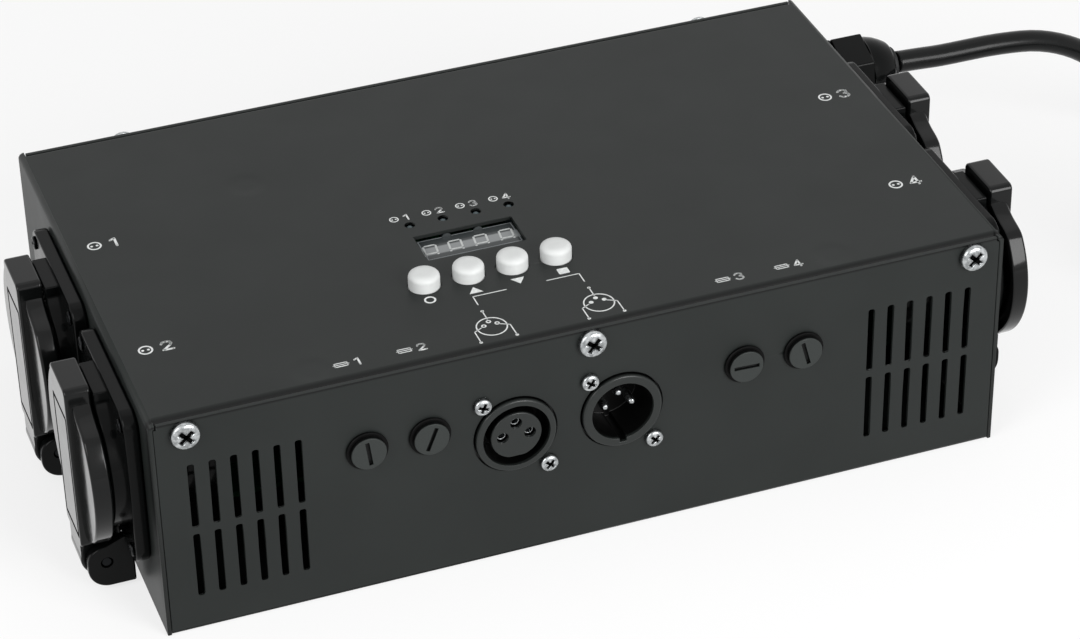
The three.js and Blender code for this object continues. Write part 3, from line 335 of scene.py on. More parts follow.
def mix_finishes():
    """All finishes by the short names that the pieces use."""
    FINISHES.update(
        coat=powder_coated_steel(), iron=transformer_iron(), filter=smoked_acrylic(), glass=fuse_glass(),
        control=circuit_laminate("control_laminate", CONTROL_TOP),
        power=circuit_laminate("power_laminate", POWER_TOP),
        # A dark grey face; behind the panel's front it is painted black, as painted shade in the holes and the groove
        shell=nylon_with_painted_tone("connector_nylon", "#1d201f", 0.32, 0.3, 0.005,
                              FRONT - 0.25, "GREATER_THAN", "#040404"),
        # Slotted caps: the front face is painted lighter, as painted light, and the sides black, as painted shade
        knob=nylon_with_painted_tone("fuse_knob_nylon", "#0a0b0b", 0.4, 0.15, 0.006,
                             FRONT - 2.1, "LESS_THAN", "#2f3231"))
    # Polyamide from a polished tool is glossy with a very fine skin, a spark-eroded tool leaves a matt grain
    polished, eroded = dict(coat_roughness=0.08, coat_ior=1.3, relief=(0.5, 0.003)), dict(relief=(0.35, 0.008))
    for key, name, colour, roughness, more in (
            ("body", "socket_polyamide", "#080909", 0.22,
             dict(specular=0.05, coat=0.25, clouds=(0.18, 0.27, 9.0), **polished)),
            ("lid", "lid_polyamide", "#0a0b0b", 0.15,
             dict(specular=0.1, coat=0.6, clouds=(0.11, 0.2, 9.0), **polished)),
            ("bakelite", "fuse_bakelite", "#060606", 0.5, dict(specular=0.08, clouds=(0.45, 0.55, 6.0), **eroded)),
            ("rim", "pale_rim", "#84888a", 0.4, dict(specular=0.15, clouds=(0.35, 0.45, 6.0), **eroded)),
            # A matt black that paints shade: in the screw recesses and in the grooves on the lids' straps
            ("painted_shade", "painted_shade_black", "#040404", 0.8, dict(specular=0.03, clouds=(0.75, 0.85, 6.0), **eroded)),
            # White key tops with a soft sheen
            ("white", "white_abs", "#d8dad9", 0.45,
             dict(specular=0.3, drift=("#d6d8d7", "#dadcdb", 3.0), relief=(0.4, 0.002))),
            # Cold-headed screws, slightly clouded
            ("zinc", "zinc_plated_steel", "#aeb1b2", 0.26,
             dict(metal=1.0, drift=("#8f9293", "#c2c5c6", 1.1), clouds=(0.18, 0.38, 1.2), relief=(0.25, 0.003))),
            # Drawn wire, ground pins and extruded fins carry fine lines along their length
            ("spring", "drawn_spring_steel", "#9fa2a4", 0.36, dict(metal=1.0, relief=(0.3, 0.002, (1.0, 0.08, 1.0)))),
            ("pin", "oiled_pin_steel", "#1e1f20", 0.32, dict(metal=1.0, relief=(0.3, 0.002, (1.0, 0.1, 1.0)))),
            ("alloy", "extruded_aluminium", "#b6babc", 0.34, dict(metal=1.0, relief=(0.4, 0.006, (1.0, 1.0, 0.03)))),
            # Diffusing resin in the digits' bars, pale grey while no current flows, and unlit blue-grey lights
            ("segment", "unlit_segment", "#c4c7c6", 0.45, dict(specular=0.3, drift=("#babdbc", "#cdd0cf", 1.0))),
            ("epoxy", "tinted_epoxy", "#39474b", 0.2, dict(relief=(1.0, 0.002))),
            # Thin screen-printing ink with slightly broken cover
            ("ink", "screen_ink", "#dfe2e1", 0.55, dict(specular=0.3, drift=("#d2d5d4", "#e9ebea", 0.8))),
            # Extruded sheath with slow waves along the lead, and the dull seal that grips it
            ("sheath", "flexible_pvc", "#0d0e0e", 0.26, dict(
                specular=0.12, coat=0.12, coat_roughness=0.12, clouds=(0.22, 0.32, 8.0), relief=(2.6, 0.02))),
            ("rubber", "moulded_rubber", "#101112", 0.62, dict(specular=0.35, relief=(0.4, 0.01)))):
        FINISHES[key] = base_finish(name, colour, roughness, **more)[0]


# ---------------------------------------------------------------- shaping, in millimetres

def arc(a, b, radius, start, end, steps=8):
    """Points of an arc, its angles in degrees."""
    angles = [math.radians(start + (end - start) * i / steps) for i in range(steps + 1)]
    return [(a + radius * math.cos(angle), b + radius * math.sin(angle)) for angle in angles]


def rounded(a0, a1, b0, b1, radius, steps=6):
    """A rectangle with round corners."""
    low_a, high_a, low_b, high_b = a0 + radius, a1 - radius, b0 + radius, b1 - radius
    corners = (high_a, low_b), (high_a, high_b), (low_a, high_b), (low_a, low_b)
    return [point for i, corner in enumerate(corners)
            for point in arc(*corner, radius, 90 * i - 90, 90 * i, steps)]


def across(axis, along, a, b):
    """A point from its place along an axis and its two places across it."""
    return {"x": (along, a, b), "y": (a, along, b), "z": (a, b, along)}[axis]


def span(side, a, b):
    """From a to b on one side of the middle."""
    return sorted((side * a, side * b))


def shell(points, faces):
    """A closed body, its doubles merged and its faces turned outwards."""
    mesh = bpy.data.meshes.new("work")
    mesh.from_pydata(points, [], faces)
    with opened(mesh) as bm:
        bmesh.ops.remove_doubles(bm, verts=bm.verts, dist=0.0005)
        bmesh.ops.recalc_face_normals(bm, faces=bm.faces)
    return added("work", mesh)


def prism(axis, outline, start, end):
    """An outline drawn out along an axis."""
    count = len(outline)
    points = [across(axis, along, a, b) for along in (start, end) for a, b in outline]
    walls = [(i, (i + 1) % count, count + (i + 1) % count, count + i) for i in range(count)]
    return shell(points, [tuple(range(count)), tuple(range(count, 2 * count)), *walls])


def turned(axis, profile, place=(0.0, 0.0), steps=64, hollow=False):
    """A profile of (radius, place along the axis), turned. A hollow one joins its ends to a tube wall."""
    angles = [math.tau * i / steps for i in range(steps)]
    points = [across(axis, along, place[0] + radius * math.cos(angle), place[1] + radius * math.sin(angle))
              for radius, along in profile for angle in angles]
    count, faces = len(profile), []
    last = (count - 1) * steps
    for j in range(count if hollow else count - 1):
        low, high = j * steps, (j + 1) % count * steps
        faces += [(low + i, low + (i + 1) % steps, high + (i + 1) % steps, high + i) for i in range(steps)]
    if not hollow:
        faces += [tuple(range(steps)), tuple(range(last, last + steps))]
    return shell(points, faces)


def rod(axis, radius, start, end, place=(0.0, 0.0), steps=48):
    """A plain round bar, its place given across the axis."""
    return turned(axis, [(radius, start), (radius, end)], place, steps)


def block(xs, ys, zs):
    return prism("z", [(xs[0], ys[0]), (xs[1], ys[0]), (xs[1], ys[1]), (xs[0], ys[1])], *zs)


def solid_of(body):
    """The body's mesh as its modifiers leave it."""
    bpy.context.view_layer.update()
    return bpy.data.meshes.new_from_object(body.evaluated_get(bpy.context.evaluated_depsgraph_get()))


def settled(body):
    """The body with its modifiers worked into its plain mesh."""
    mesh = solid_of(body)
    body.modifiers.clear()
    body.data = mesh
    return body


def shaped(body, *steps):
    """The body after grown-on ("UNION") and cut-away ("DIFFERENCE") tools, as one plain mesh."""
    for operation, tool in steps:
        step = body.modifiers.new(operation, "BOOLEAN")
        step.operation, step.solver, step.object = operation, "EXACT", tool
    settled(body)
    drop(*[tool for operation, tool in steps])
    with opened(body.data) as bm:
        bmesh.ops.remove_doubles(bm, verts=bm.verts, dist=0.003)
        bmesh.ops.dissolve_limit(bm, angle_limit=math.radians(0.5), verts=bm.verts, edges=bm.edges)
    return body


def grown(body, *tools):
    return shaped(body, *[("UNION", tool) for tool in tools])


def carved(body, *tools):
    return shaped(body, *[("DIFFERENCE", tool) for tool in tools])


def cluster(*bodies):
    """Several bodies as one object, each keeping its own shell."""
    mesh = bpy.data.meshes.new("work")
    with opened(mesh) as bm:
        for body in bodies:
            bm.from_mesh(body.data)
    drop(*bodies[1:])
    bodies[0].data = mesh
    return bodies[0]


def bevelled(body, width, segments, weighted=False):
    """Rounds the edges that turn by more than the crease angle, or the weighted ones alone."""
    edges = body.modifiers.new("edges", "BEVEL")
    edges.width, edges.segments, edges.angle_limit = width, segments, CREASE
    edges.limit_method, edges.use_clamp_overlap = ("WEIGHT", False) if weighted else ("ANGLE", True)
    return body


def eased(body, width, least=0.0):
    """Rounds the edges by width and weights the normals, so that flats stay flat. Given a least length,
    it leaves the shorter edges sharp."""
    with opened(body.data) as bm:
        for face in bm.faces:
            face.smooth = True
        if least:
            weight = bm.edges.layers.float.new("bevel_weight_edge")
            for edge in bm.edges:
                if edge.is_manifold and edge.calc_face_angle() > CREASE and edge.calc_length() > least:
                    edge[weight] = 1.0
    if width:
        bevelled(body, width, 2, bool(least))
    body.modifiers.new("normals", "WEIGHTED_NORMAL").keep_sharp = True
    return body


def softened(body, width):
    """Rounds the edges and keeps the result as the plain mesh, so that finer cuts can follow."""
    return settled(bevelled(body, width, 3))


def moved(body, place):
    """The body with its mesh taken to a place."""
    body.data.transform(place)
    return body


def dress(body, name, finish, rides="case", stands_for=(), place=Matrix.Identity(4)):
    """Finishes a piece: its mesh goes to its place in metres and rides on a body of the frame."""
    mesh = solid_of(body)
    mesh.transform(Matrix.Scale(MM, 4) @ place)
    mesh.name = name
    mesh.materials.clear()
    mesh.materials.append(FINISHES[finish])
    piece = added(name, mesh)
    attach(piece, rides)
    if stands_for:
        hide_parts(*stands_for)
    return piece


def drop(*bodies):
    for body in bodies:
        bpy.data.objects.remove(body)


# ---------------------------------------------------------------- mains lead

CORD_RADIUS, CORD_Z = 3.5, 4.8
CORD_ROUTE = [(152.7, 57, 51), (160.5, 57, 50.6), (169, 57, 50.1), (190, 57, 49.8), (204.5, 57, 47.8),
              (217.5, 57, 42.3), (230, 57, 32.8), (241, 57, 22.3), (252, 57, 12.8), (265, 57, 6.6),
              (276.5, 57, CORD_Z), (284.7, 57, CORD_Z)]
COIL_CENTRE = Vector((292.0, 9.0, CORD_Z))
COIL_RADIUS, COIL_PITCH, COIL_LAYER, COIL_CLIMB = 48.0, 7.6, 2.5, 0.5
PLUG_SHOULDER, PLUG_RADIUS, PLUG_REST = 54.42, 18.7, 0.2
PLUG_TILT = (math.asin((PLUG_REST - CORD_Z - COIL_PITCH) / math.hypot(PLUG_SHOULDER, PLUG_RADIUS))
             + math.atan2(PLUG_RADIUS, PLUG_SHOULDER))
PLUG_WAY = Vector((-math.cos(PLUG_TILT), 0.0, math.sin(PLUG_TILT)))


def smooth_route(points, per_span):
    """A centripetal curve through the points."""
    knots = [Vector(p) for p in points]
    knots = [2 * knots[0] - knots[1], *knots, 2 * knots[-1] - knots[-2]]
    path = []
    for i in range(1, len(knots) - 2):
        p0, p1, p2, p3 = knots[i - 1:i + 3]
        d1, d2, d3 = ((b - a).length ** 0.5 for a, b in ((p0, p1), (p1, p2), (p2, p3)))
        lean1 = ((p1 - p0) / d1 - (p2 - p0) / (d1 + d2) + (p2 - p1) / d2) * d2
        lean2 = ((p2 - p1) / d2 - (p3 - p1) / (d2 + d3) + (p3 - p2) / d3) * d2
        for j in range(per_span):
            t = j / per_span
            path.append(p1 * (2 * t ** 3 - 3 * t ** 2 + 1) + lean1 * (t ** 3 - 2 * t ** 2 + t)
                        + p2 * (3 * t ** 2 - 2 * t ** 3) + lean2 * (t ** 3 - t ** 2))
    return [*path, knots[-2]]


def coil_point(turn):
    """The lead spirals in on the lower layer, climbs as it reverses and spirals out above."""
    inner = COIL_RADIUS - COIL_LAYER * COIL_PITCH
    climb = min(max((turn - COIL_LAYER) / COIL_CLIMB, 0.0), 1.0)
    radius = inner - COIL_PITCH * COIL_CLIMB * climb * (1 - climb)
    if climb == 0.0:
        radius = COIL_RADIUS - turn * COIL_PITCH
    if climb == 1.0:
        radius = inner + (turn - COIL_LAYER - COIL_CLIMB) * COIL_PITCH
    angle = math.pi / 2 - math.tau * turn
    rise = COIL_PITCH * climb * climb * (3 - 2 * climb)
    return COIL_CENTRE + Vector((radius * math.cos(angle), radius * math.sin(angle), rise))


def lead_path():
    """The lead's middle line from the gland through the coil into the plug."""
    turns, per_turn = 2 * COIL_LAYER + COIL_CLIMB, 48
    steps = round(turns * per_turn)
    coil = [coil_point(turns * i / steps) for i in range(steps + 1)]
    return [*smooth_route(CORD_ROUTE, 4), *coil, coil[-1] + PLUG_WAY * 7.3]


def tube(path, radius, sides, upright=(0, 0, 1)):
    """A round tube along a path, its ends closed."""
    points, faces = [], []
    for i, spot in enumerate(path):
        along = (path[min(i + 1, len(path) - 1)] - path[max(i - 1, 0)]).normalized()
        out = along.cross(Vector(upright)).normalized()
        up = out.cross(along)
        points += [spot + out * radius * math.cos(math.tau * j / sides) + up * radius * math.sin(math.tau * j / sides)
                   for j in range(sides)]
    for i in range(len(path) - 1):
        faces += [(i * sides + j, i * sides + (j + 1) % sides, (i + 1) * sides + (j + 1) % sides, (i + 1) * sides + j)
                  for j in range(sides)]
    last = (len(path) - 1) * sides
    return shell(points, [*faces, tuple(range(sides)), tuple(range(last, last + sides))])


def add_lead():
    """The mains lead as one cord, with the gland, the tie and the plug that ride with it."""
    path = lead_path()
    body = eased(tube(path, CORD_RADIUS, 18), 0)
    cord = dress(body, "mains_cord", "sheath", stands_for=("cord_run", "cord_coil"))
    drop(body)
    gland = add_gland()
    tie = add_tie()
    plug = add_plug(path[-1])


def add_gland():
    """Cable gland: hexagon body, dome nut and the seal that grips the cord."""
    place = Matrix.Translation((SIDE, GLAND_Y, GLAND_Z))
    flats = 21.0
    hexagon = arc(0, 0, flats / math.sqrt(3), GLAND_TURN, GLAND_TURN + 300, 5)
    body = grown(prism("x", hexagon, 0.3, 6.0), rod("x", 8.2, 5.8, 14.0), rod("x", 8.0, -11.0, 6.0))
    body = eased(carved(body, rod("x", 4.5, -12.0, 15.0)), 0.5)
    crown = [(10.2, 16.4), (10.2, 17.4), (10.0, 19.0), (9.5, 21.0), (8.6, 23.0), (7.7, 24.6), (7.0, 25.5),
             (6.4, 25.7)]
    nut = grown(prism("x", hexagon, 6.3, 16.7), turned("x", crown))
    nut = eased(carved(nut, rod("x", 8.5, 5.0, 14.3), rod("x", 5.8, 13.0, 27.0)), 0.5)
    seal = eased(turned("x", [(5.5, 14.3), (5.5, 26.6), (5.2, 27.2), (4.6, 27.4)]), 0.15)
    made = [dress(part, name, finish, stands_for=(whole,), place=place)
            for part, name, finish, whole in ((body, "gland_base", "body", "gland_body"),
                                              (nut, "gland_dome", "body", "gland_nut"),
                                              (seal, "gland_ring", "rubber", "gland_seal"))]
    drop(body, nut, seal)
    return made


def add_tie():
    """Releasable tie round both layers at the coil's right side."""
    inner, outer = (COIL_CENTRE.x + 26.9, COIL_CENTRE.x + 50.1), (COIL_CENTRE.x + 25.9, COIL_CENTRE.x + 51.1)
    band = carved(prism("y", rounded(*outer, 0.0, 17.2, 2.0), 6.0, 12.0),
                  prism("y", rounded(*inner, 1.0, 16.2, 1.2), 5.0, 13.0))
    head = block((outer[1] - 0.3, outer[1] + 3.9), (6.0, 12.0), (5.0, 10.0))
    band = eased(grown(band, head), 0.2)
    made = dress(band, "coil_strap", "shell", stands_for=("coil_tie",))
    drop(band)
    return made


def add_plug(end):
    """Moulded mains plug: ribbed strain relief, grip, round face with earth cuts, two solid pins."""
    place = Matrix.Translation(end) @ Matrix.Rotation(math.pi + PLUG_TILT, 4, "Y")
    relief = [(3.6, 0.0), (4.3, 0.3)]
    for i in range(6):
        start, swell = 0.6 + 4.8 * i, 4.6 + 0.4 * i
        relief += [(swell, start), (swell + 0.15, start + 3.0), (swell - 0.75, start + 3.3),
                   (swell - 0.75, start + 4.4)]
    body = turned("x", [*relief, (7.0, 30.0), (9.4, 34.2), (11.4, 38.0), (13.0, 44.0), (17.0, 45.4), (18.4, 46.6),
                        (PLUG_RADIUS, 48.0), (PLUG_RADIUS, 68.0)], steps=72)
    cuts = [block((51.0, 69.0), span(side, 15.7, 20.0), (-3.5, 3.5)) for side in SIDES]
    body = eased(carved(body, *cuts), 0.3)
    made = [dress(body, "plug_body", "shell", stands_for=("plug",), place=place)]
    pins = eased(cluster(*[turned("x", [(2.4, 67.8), (2.4, 85.6), (1.9, 86.7), (1.2, 87.0)], (0.0, z), 32)
                           for z in (-9.5, 9.5)]), 0)
    made.append(dress(pins, "plug_pins", "zinc", place=place))
    drop(body, pins)
    return made


# ---------------------------------------------------------------- what repeats, by Geometry Nodes

def node_tree(name, sockets):
    """A Geometry Nodes tree with its named inputs, and the outputs of its input node."""
    tree = bpy.data.node_groups.new(name, "GeometryNodeTree")
    tree.interface.new_socket("Geometry", in_out="INPUT", socket_type="NodeSocketGeometry")
    tree.interface.new_socket("Geometry", in_out="OUTPUT", socket_type="NodeSocketGeometry")
    for label, kind in sockets:
        tree.interface.new_socket(label, in_out="INPUT", socket_type="NodeSocket" + kind)
    return tree, put(tree, "NodeGroupInput").outputs


def close_tree(tree, geometry, material):
    """Ends a tree: real geometry in its material."""
    real = put(tree, "GeometryNodeRealizeInstances", {"Geometry": geometry})
    finished = put(tree, "GeometryNodeSetMaterial", {"Geometry": real.outputs[0], "Material": material})
    put(tree, "NodeGroupOutput", {"Geometry": finished.outputs[0]})
    return tree


def fitted_at_points():
    """Sets one fitting at every point, turned by the point's own angles."""
    tree, given = node_tree("fitted_at_points", [("Fitting", "Object"), ("Size", "Float"), ("Finish", "Material")])
    fitting = put(tree, "GeometryNodeObjectInfo", {"Object": given["Fitting"]})
    angles = put(tree, "GeometryNodeInputNamedAttribute", {"Name": "turn"}, data_type="FLOAT_VECTOR")
    turn = put(tree, "FunctionNodeEulerToRotation", {"Euler": angles.outputs[0]})
    placed = put(tree, "GeometryNodeInstanceOnPoints", {
        "Points": given["Geometry"], "Instance": fitting.outputs["Geometry"], "Rotation": turn.outputs[0],
        "Scale": given["Size"]})
    return close_tree(tree, placed.outputs[0], given["Finish"])


def slot_field():
    """A field of punches for the vent slots, each a rectangle with eased corners drawn out to its depth."""
    tree, given = node_tree("slot_field", [
        ("Slot Width", "Float"), ("Slot Length", "Float"), ("Corner", "Float"), ("Column Pitch", "Float"),
        ("Row Pitch", "Float"), ("Columns", "Int"), ("Rows", "Int"), ("Depth", "Float"), ("Finish", "Material")])
    spans = []
    for count, pitch in (("Columns", "Column Pitch"), ("Rows", "Row Pitch")):
        gaps = put(tree, "ShaderNodeMath", {0: given[count], 1: 1.0}, operation="SUBTRACT")
        spans.append(put(tree, "ShaderNodeMath", {0: gaps.outputs[0], 1: given[pitch]}, operation="MULTIPLY"))
    points = put(tree, "GeometryNodeMeshGrid", {
        "Size X": spans[0].outputs[0], "Size Y": spans[1].outputs[0], "Vertices X": given["Columns"],
        "Vertices Y": given["Rows"]})
    sheet = put(tree, "GeometryNodeCurvePrimitiveQuadrilateral",
                {"Width": given["Slot Width"], "Height": given["Slot Length"]}, mode="RECTANGLE")
    sheet = put(tree, "GeometryNodeFilletCurve", {"Curve": sheet.outputs[0], "Radius": given["Corner"], "Count": 5},
                mode="POLY")
    sheet = put(tree, "GeometryNodeFillCurve", {"Curve": sheet.outputs[0]}, mode="NGONS")
    drawn = put(tree, "GeometryNodeExtrudeMesh", {"Mesh": sheet.outputs[0], "Offset Scale": given["Depth"],
                                                  "Individual": False}, mode="FACES")
    back = put(tree, "GeometryNodeFlipFaces", {"Mesh": sheet.outputs[0]})
    both = put(tree, "GeometryNodeJoinGeometry")
    tree.links.new(drawn.outputs[0], both.inputs[0])
    tree.links.new(back.outputs[0], both.inputs[0])
    punch = put(tree, "GeometryNodeMergeByDistance", {"Geometry": both.outputs[0], "Distance": 0.001})
    placed = put(tree, "GeometryNodeInstanceOnPoints", {"Points": points.outputs[0], "Instance": punch.outputs[0]})
    return close_tree(tree, placed.outputs[0], given["Finish"])


def made_by(tree, values, points=((0, 0, 0),), turns=None):
    """The plain mesh that a tree makes from some points and the values of its named inputs."""
    mesh = bpy.data.meshes.new("work")
    mesh.from_pydata([tuple(p) for p in points], [], [])
    angles = mesh.attributes.new("turn", "FLOAT_VECTOR", "POINT")
    angles.data.foreach_set("vector", [c for turn in (turns or [(0, 0, 0)] * len(points)) for c in turn])
    body = added("work", mesh)
    sockets = {item.name: item.identifier for item in tree.interface.items_tree if item.in_out == "INPUT"}
    repeat = body.modifiers.new("repeat", "NODES")
    repeat.node_group = tree
    for name, value in values.items():
        repeat[sockets[name]] = value
    return settled(body)


def fitted(tree, fitting, points, turns, finish):
    """The fitting at every point, as one body; the fitting itself goes."""
    body = made_by(tree, {"Fitting": fitting, "Size": 1.0, "Finish": FINISHES[finish]}, points, turns)
    drop(fitting)
    return body


# ---------------------------------------------------------------- case

def front_holes(radius, places, steps=48):
    """Round cutters through the front panel and the cover's front lip."""
    return [rod("y", radius, -75.5, -70.0, place, steps) for place in places]


def screw_holes():
    """Cutters for the cover screws, which pass the panels and the lips behind them."""
    radius = 2.3
    return [*front_holes(radius, [(x, SCREW_Z) for x in FRONT_SCREWS]),
            *[rod("y", radius, 70.0, 75.5, (x, SCREW_Z), 32) for x in BACK_SCREWS]]


def gland_hole():
    return rod("x", 8.3, 121.0, 126.0, (GLAND_Y, GLAND_Z))


def data_screws():
    """Places of the connectors' screws on the front panel, two a connector, across a diagonal."""
    return [(x + side * DATA_SCREW[0], DATA_Z - side * DATA_SCREW[1]) for x in DATA_XS for side in SIDES]


def add_tray():
    """Tray: base, front and back panels in one folded sheet, with returns behind the cover's sides."""
    inner = TRAY_BEND - SHEET
    profile = [(FRONT, PANEL_TOP), *arc(FRONT + TRAY_BEND, TRAY_BEND, TRAY_BEND, 180, 270),
               *arc(BACK - TRAY_BEND, TRAY_BEND, TRAY_BEND, 270, 360), (BACK, PANEL_TOP),
               (BACK - SHEET, PANEL_TOP), *arc(BACK - TRAY_BEND, TRAY_BEND, inner, 360, 270),
               *arc(FRONT + TRAY_BEND, TRAY_BEND, inner, 270, 180), (FRONT + SHEET, PANEL_TOP)]
    tray = prism("x", profile, -TRAY_HALF, TRAY_HALF)
    returns = [block(span(side, TRAY_HALF - SHEET, TRAY_HALF),
                     span(end, BACK - SHEET / 2, BACK - SHEET - RETURN_DEPTH), (TRAY_BEND, 68.9))
               for side in SIDES for end in SIDES]
    corners = [block(span(side, 122.8, SIDE), (-76.0, 76.0), (69.2, 72.0)) for side in SIDES]
    standoffs = [rod("z", 3.0, 1.0, 7.7, (x, y)) for x in (-90, 90) for y in (-25, 33)]
    field, upright = slot_field(), Matrix.Rotation(math.pi / 2, 4, "X")
    vents = {"Slot Width": 2.0, "Slot Length": 21.0, "Corner": 0.7, "Column Pitch": 6.0, "Row Pitch": 23.3,
             "Columns": 6, "Rows": 2, "Depth": 4.0, "Finish": FINISHES["coat"]}
    slots = [moved(made_by(field, vents), Matrix.Translation((side * 99.5, FRONT + 2.5, 33.75)) @ upright)
             for side in SIDES]
    body = shaped(
        tray, *[("UNION", part) for part in (*returns, *standoffs)],
        *[("DIFFERENCE", hole) for hole in (
            *slots, *corners, *front_holes(12.35, [(x, DATA_Z) for x in DATA_XS], 96),
            *front_holes(1.75, data_screws()), *front_holes(5.8, [(x, FUSE_Z) for x in FUSE_XS]),
            *screw_holes(), gland_hole())])
    eased(body, 0.22, least=1.5)
    dress(body, "folded_tray", "coat", stands_for=("chassis",))
    drop(body)


def add_cover():
    """Cover: top and sides in one folded sheet, its lips held behind the panels by the screws."""
    bend_x, bend_z, inner = SIDE - COVER_BEND, TOP - COVER_BEND, COVER_BEND - SHEET
    profile = [(-SIDE, GAP), (SHEET - SIDE, GAP), *arc(-bend_x, bend_z, inner, 180, 90),
               *arc(bend_x, bend_z, inner, 90, 0), (SIDE - SHEET, GAP), (SIDE, GAP),
               *arc(bend_x, bend_z, COVER_BEND, 0, 90), *arc(-bend_x, bend_z, COVER_BEND, 90, 180)]
    cover = prism("y", profile, FRONT, BACK)
    steps = []
    for end, bend in ((-1, LIP_BEND), (1, REAR_BEND)):
        start, middle = LIP_FACE - bend, TOP - bend
        fold = [*arc(start, middle, bend, 90, 0, 9), (LIP_FACE, middle - 0.4), (LIP_FACE - SHEET, middle - 0.4),
                *arc(start, middle, bend - SHEET, 0, 90, 6)]
        steps.append(("DIFFERENCE", block((-bend_x, bend_x), span(end, start, 76.0), (-1.0, 73.0))))
        steps.append(("UNION", prism("x", [(end * a, b) for a, b in fold], -bend_x, bend_x)))
        lip = span(end, LIP_FACE, LIP_FACE - SHEET)
        steps.append(("UNION", block((-LIP_HALF, LIP_HALF), lip, (LIP_BOTTOM, middle - 0.1))))
    for x in STUD_XS:
        for y in STUD_YS:
            steps += [("UNION", rod("z", 2.5, 60.6, 70.0, (x, y))), ("UNION", rod("z", 1.3, 57.2, 69.9, (x, y)))]
    sides = [rod("x", 21.5, *span(side, 122.0, 126.0), (y, SOCKET_Z), 96) for y in SOCKET_YS for side in SIDES]
    wide, deep = WINDOW_HALF
    window = rounded(WINDOW_X - wide, WINDOW_X + wide, WINDOW_Y - deep, WINDOW_Y + deep, 0.3)
    through = (68.0, 72.0)
    holes = [prism("z", window, *through), *[rod("z", 1.55, *through, (x, LIGHT_Y)) for x in LIGHT_XS],
             *[rod("z", 4.8, *through, (x, BUTTON_Y), 64) for x in BUTTON_XS], *sides, gland_hole(), *screw_holes()]
    body = shaped(cover, *steps, *[("DIFFERENCE", hole) for hole in holes])
    eased(body, 0.2, least=1.5)
    dress(body, "folded_cover", "coat", stands_for=("top_cover",))
    drop(body)


def pan_screw(radius, height, shank, reach):
    """Pan head screw with a cross recess and a black fill in it that paints the recess's shade, pointing along +Y
    with its seat at y = 0.
    """
    crown = [(1.0, 0.08), (1.0, 0.5), (0.97, 0.7), (0.88, 0.87), (0.7, 0.96), (0.4, 1.0), (0.15, 1.0)]
    body = turned("y", [(shank, reach), (shank, 0.0), (radius, 0.0), *[(r * radius, -h * height) for r, h in crown]],
                  steps=32)
    wide, long, deep = 0.16 * radius, 0.6 * radius, 0.9 * height
    wings = [(-long, -height - 0.5), (long, -height - 0.5), (long, -height), (0.8 * long, -height + deep),
             (-0.8 * long, -height + deep), (-long, -height)]
    body = carved(body, prism("z", wings, -wide, wide), prism("x", [(b, a) for a, b in wings], -wide, wide))
    slot, depth = (-0.97 * long, 0.97 * long), (-0.78 * height, -0.2 * height)
    return body, cluster(block(slot, depth, (-wide, wide)), block((-wide, wide), depth, slot))


def add_screws(tree):
    """Cover screws, connector screws and the sockets' corner screws, each set to its own angle."""
    spots = [(x, FRONT, SCREW_Z) for x in FRONT_SCREWS] + [(x, BACK, SCREW_Z) for x in BACK_SCREWS]
    turns = [(0, math.radians(a), 0) for a in (47, 38, 45)] + [(0, math.radians(a), math.pi) for a in (12, 70)]
    names = [f"front_cover_screw_{i}" for i in (1, 2, 3)] + [f"back_cover_screw_{i}" for i in (1, 2)]
    set_screws(tree, "cover_screws", pan_screw(4.1, 2.4, 2.0, 5.0), spots, turns, names)
    spots = [(x, FRONT, z) for x, z in data_screws()]
    turns = [(0, math.radians(a), 0) for a in (22, 40, 35, 44)]
    names = [f"data_{way}_screw_{i}" for way in ("out", "in") for i in (1, 2)]
    set_screws(tree, "connector_screws", pan_screw(2.6, 1.8, 1.45, 6.0), spots, turns, names)
    spots, turns, out, apart = [], [], SIDE + 4.4, 20.8
    for side in SIDES:
        for y in SOCKET_YS:
            for i, (a, b) in enumerate(((-1, -1), (1, -1), (1, 1), (-1, 1))):
                spots.append((side * out, y + apart * a, SOCKET_Z + apart * b))
                turns.append((0, math.radians(17 + 31 * i + 9 * side), side * math.pi / 2))
    set_screws(tree, "socket_screws", pan_screw(2.0, 0.8, 1.2, 3.5), spots, turns, (), "pin")


def set_screws(tree, name, screw, spots, turns, stands_for, finish="zinc"):
    """One kind of screw at its spots, the heads as one piece and a black fill in their recesses, painted shade, as
    another.
    """
    head, recess_shade = (fitted(tree, eased(part, 0), spots, turns, finish) for part in screw)
    dress(head, name, finish, stands_for=stands_for)
    dress(recess_shade, name.replace("screws", "recesses"), "painted_shade")
    drop(head, recess_shade)


# ---------------------------------------------------------------- mains sockets and their lids

PIVOT_X, PIVOT_Z = 9.7, -32.5
STRAP_LINE, LINE_WIDTH = (-7.6, 7.6, -23.8, 17.4), 1.4


def pin_hole():
    return rod("y", 1.8, -10.0, 10.0, (PIVOT_X, PIVOT_Z))


def socket_places():
    """The name and the place of each socket: its face looks along +X, and on the left it is turned round."""
    for side, word in zip(SIDES, ("left", "right")):
        for y, end in zip(SOCKET_YS, ("front", "rear")):
            turn = HALF_TURN if side < 0 else Matrix.Identity(4)
            yield f"{word}_{end}", Matrix.Translation((side * SIDE, y, SOCKET_Z)) @ turn


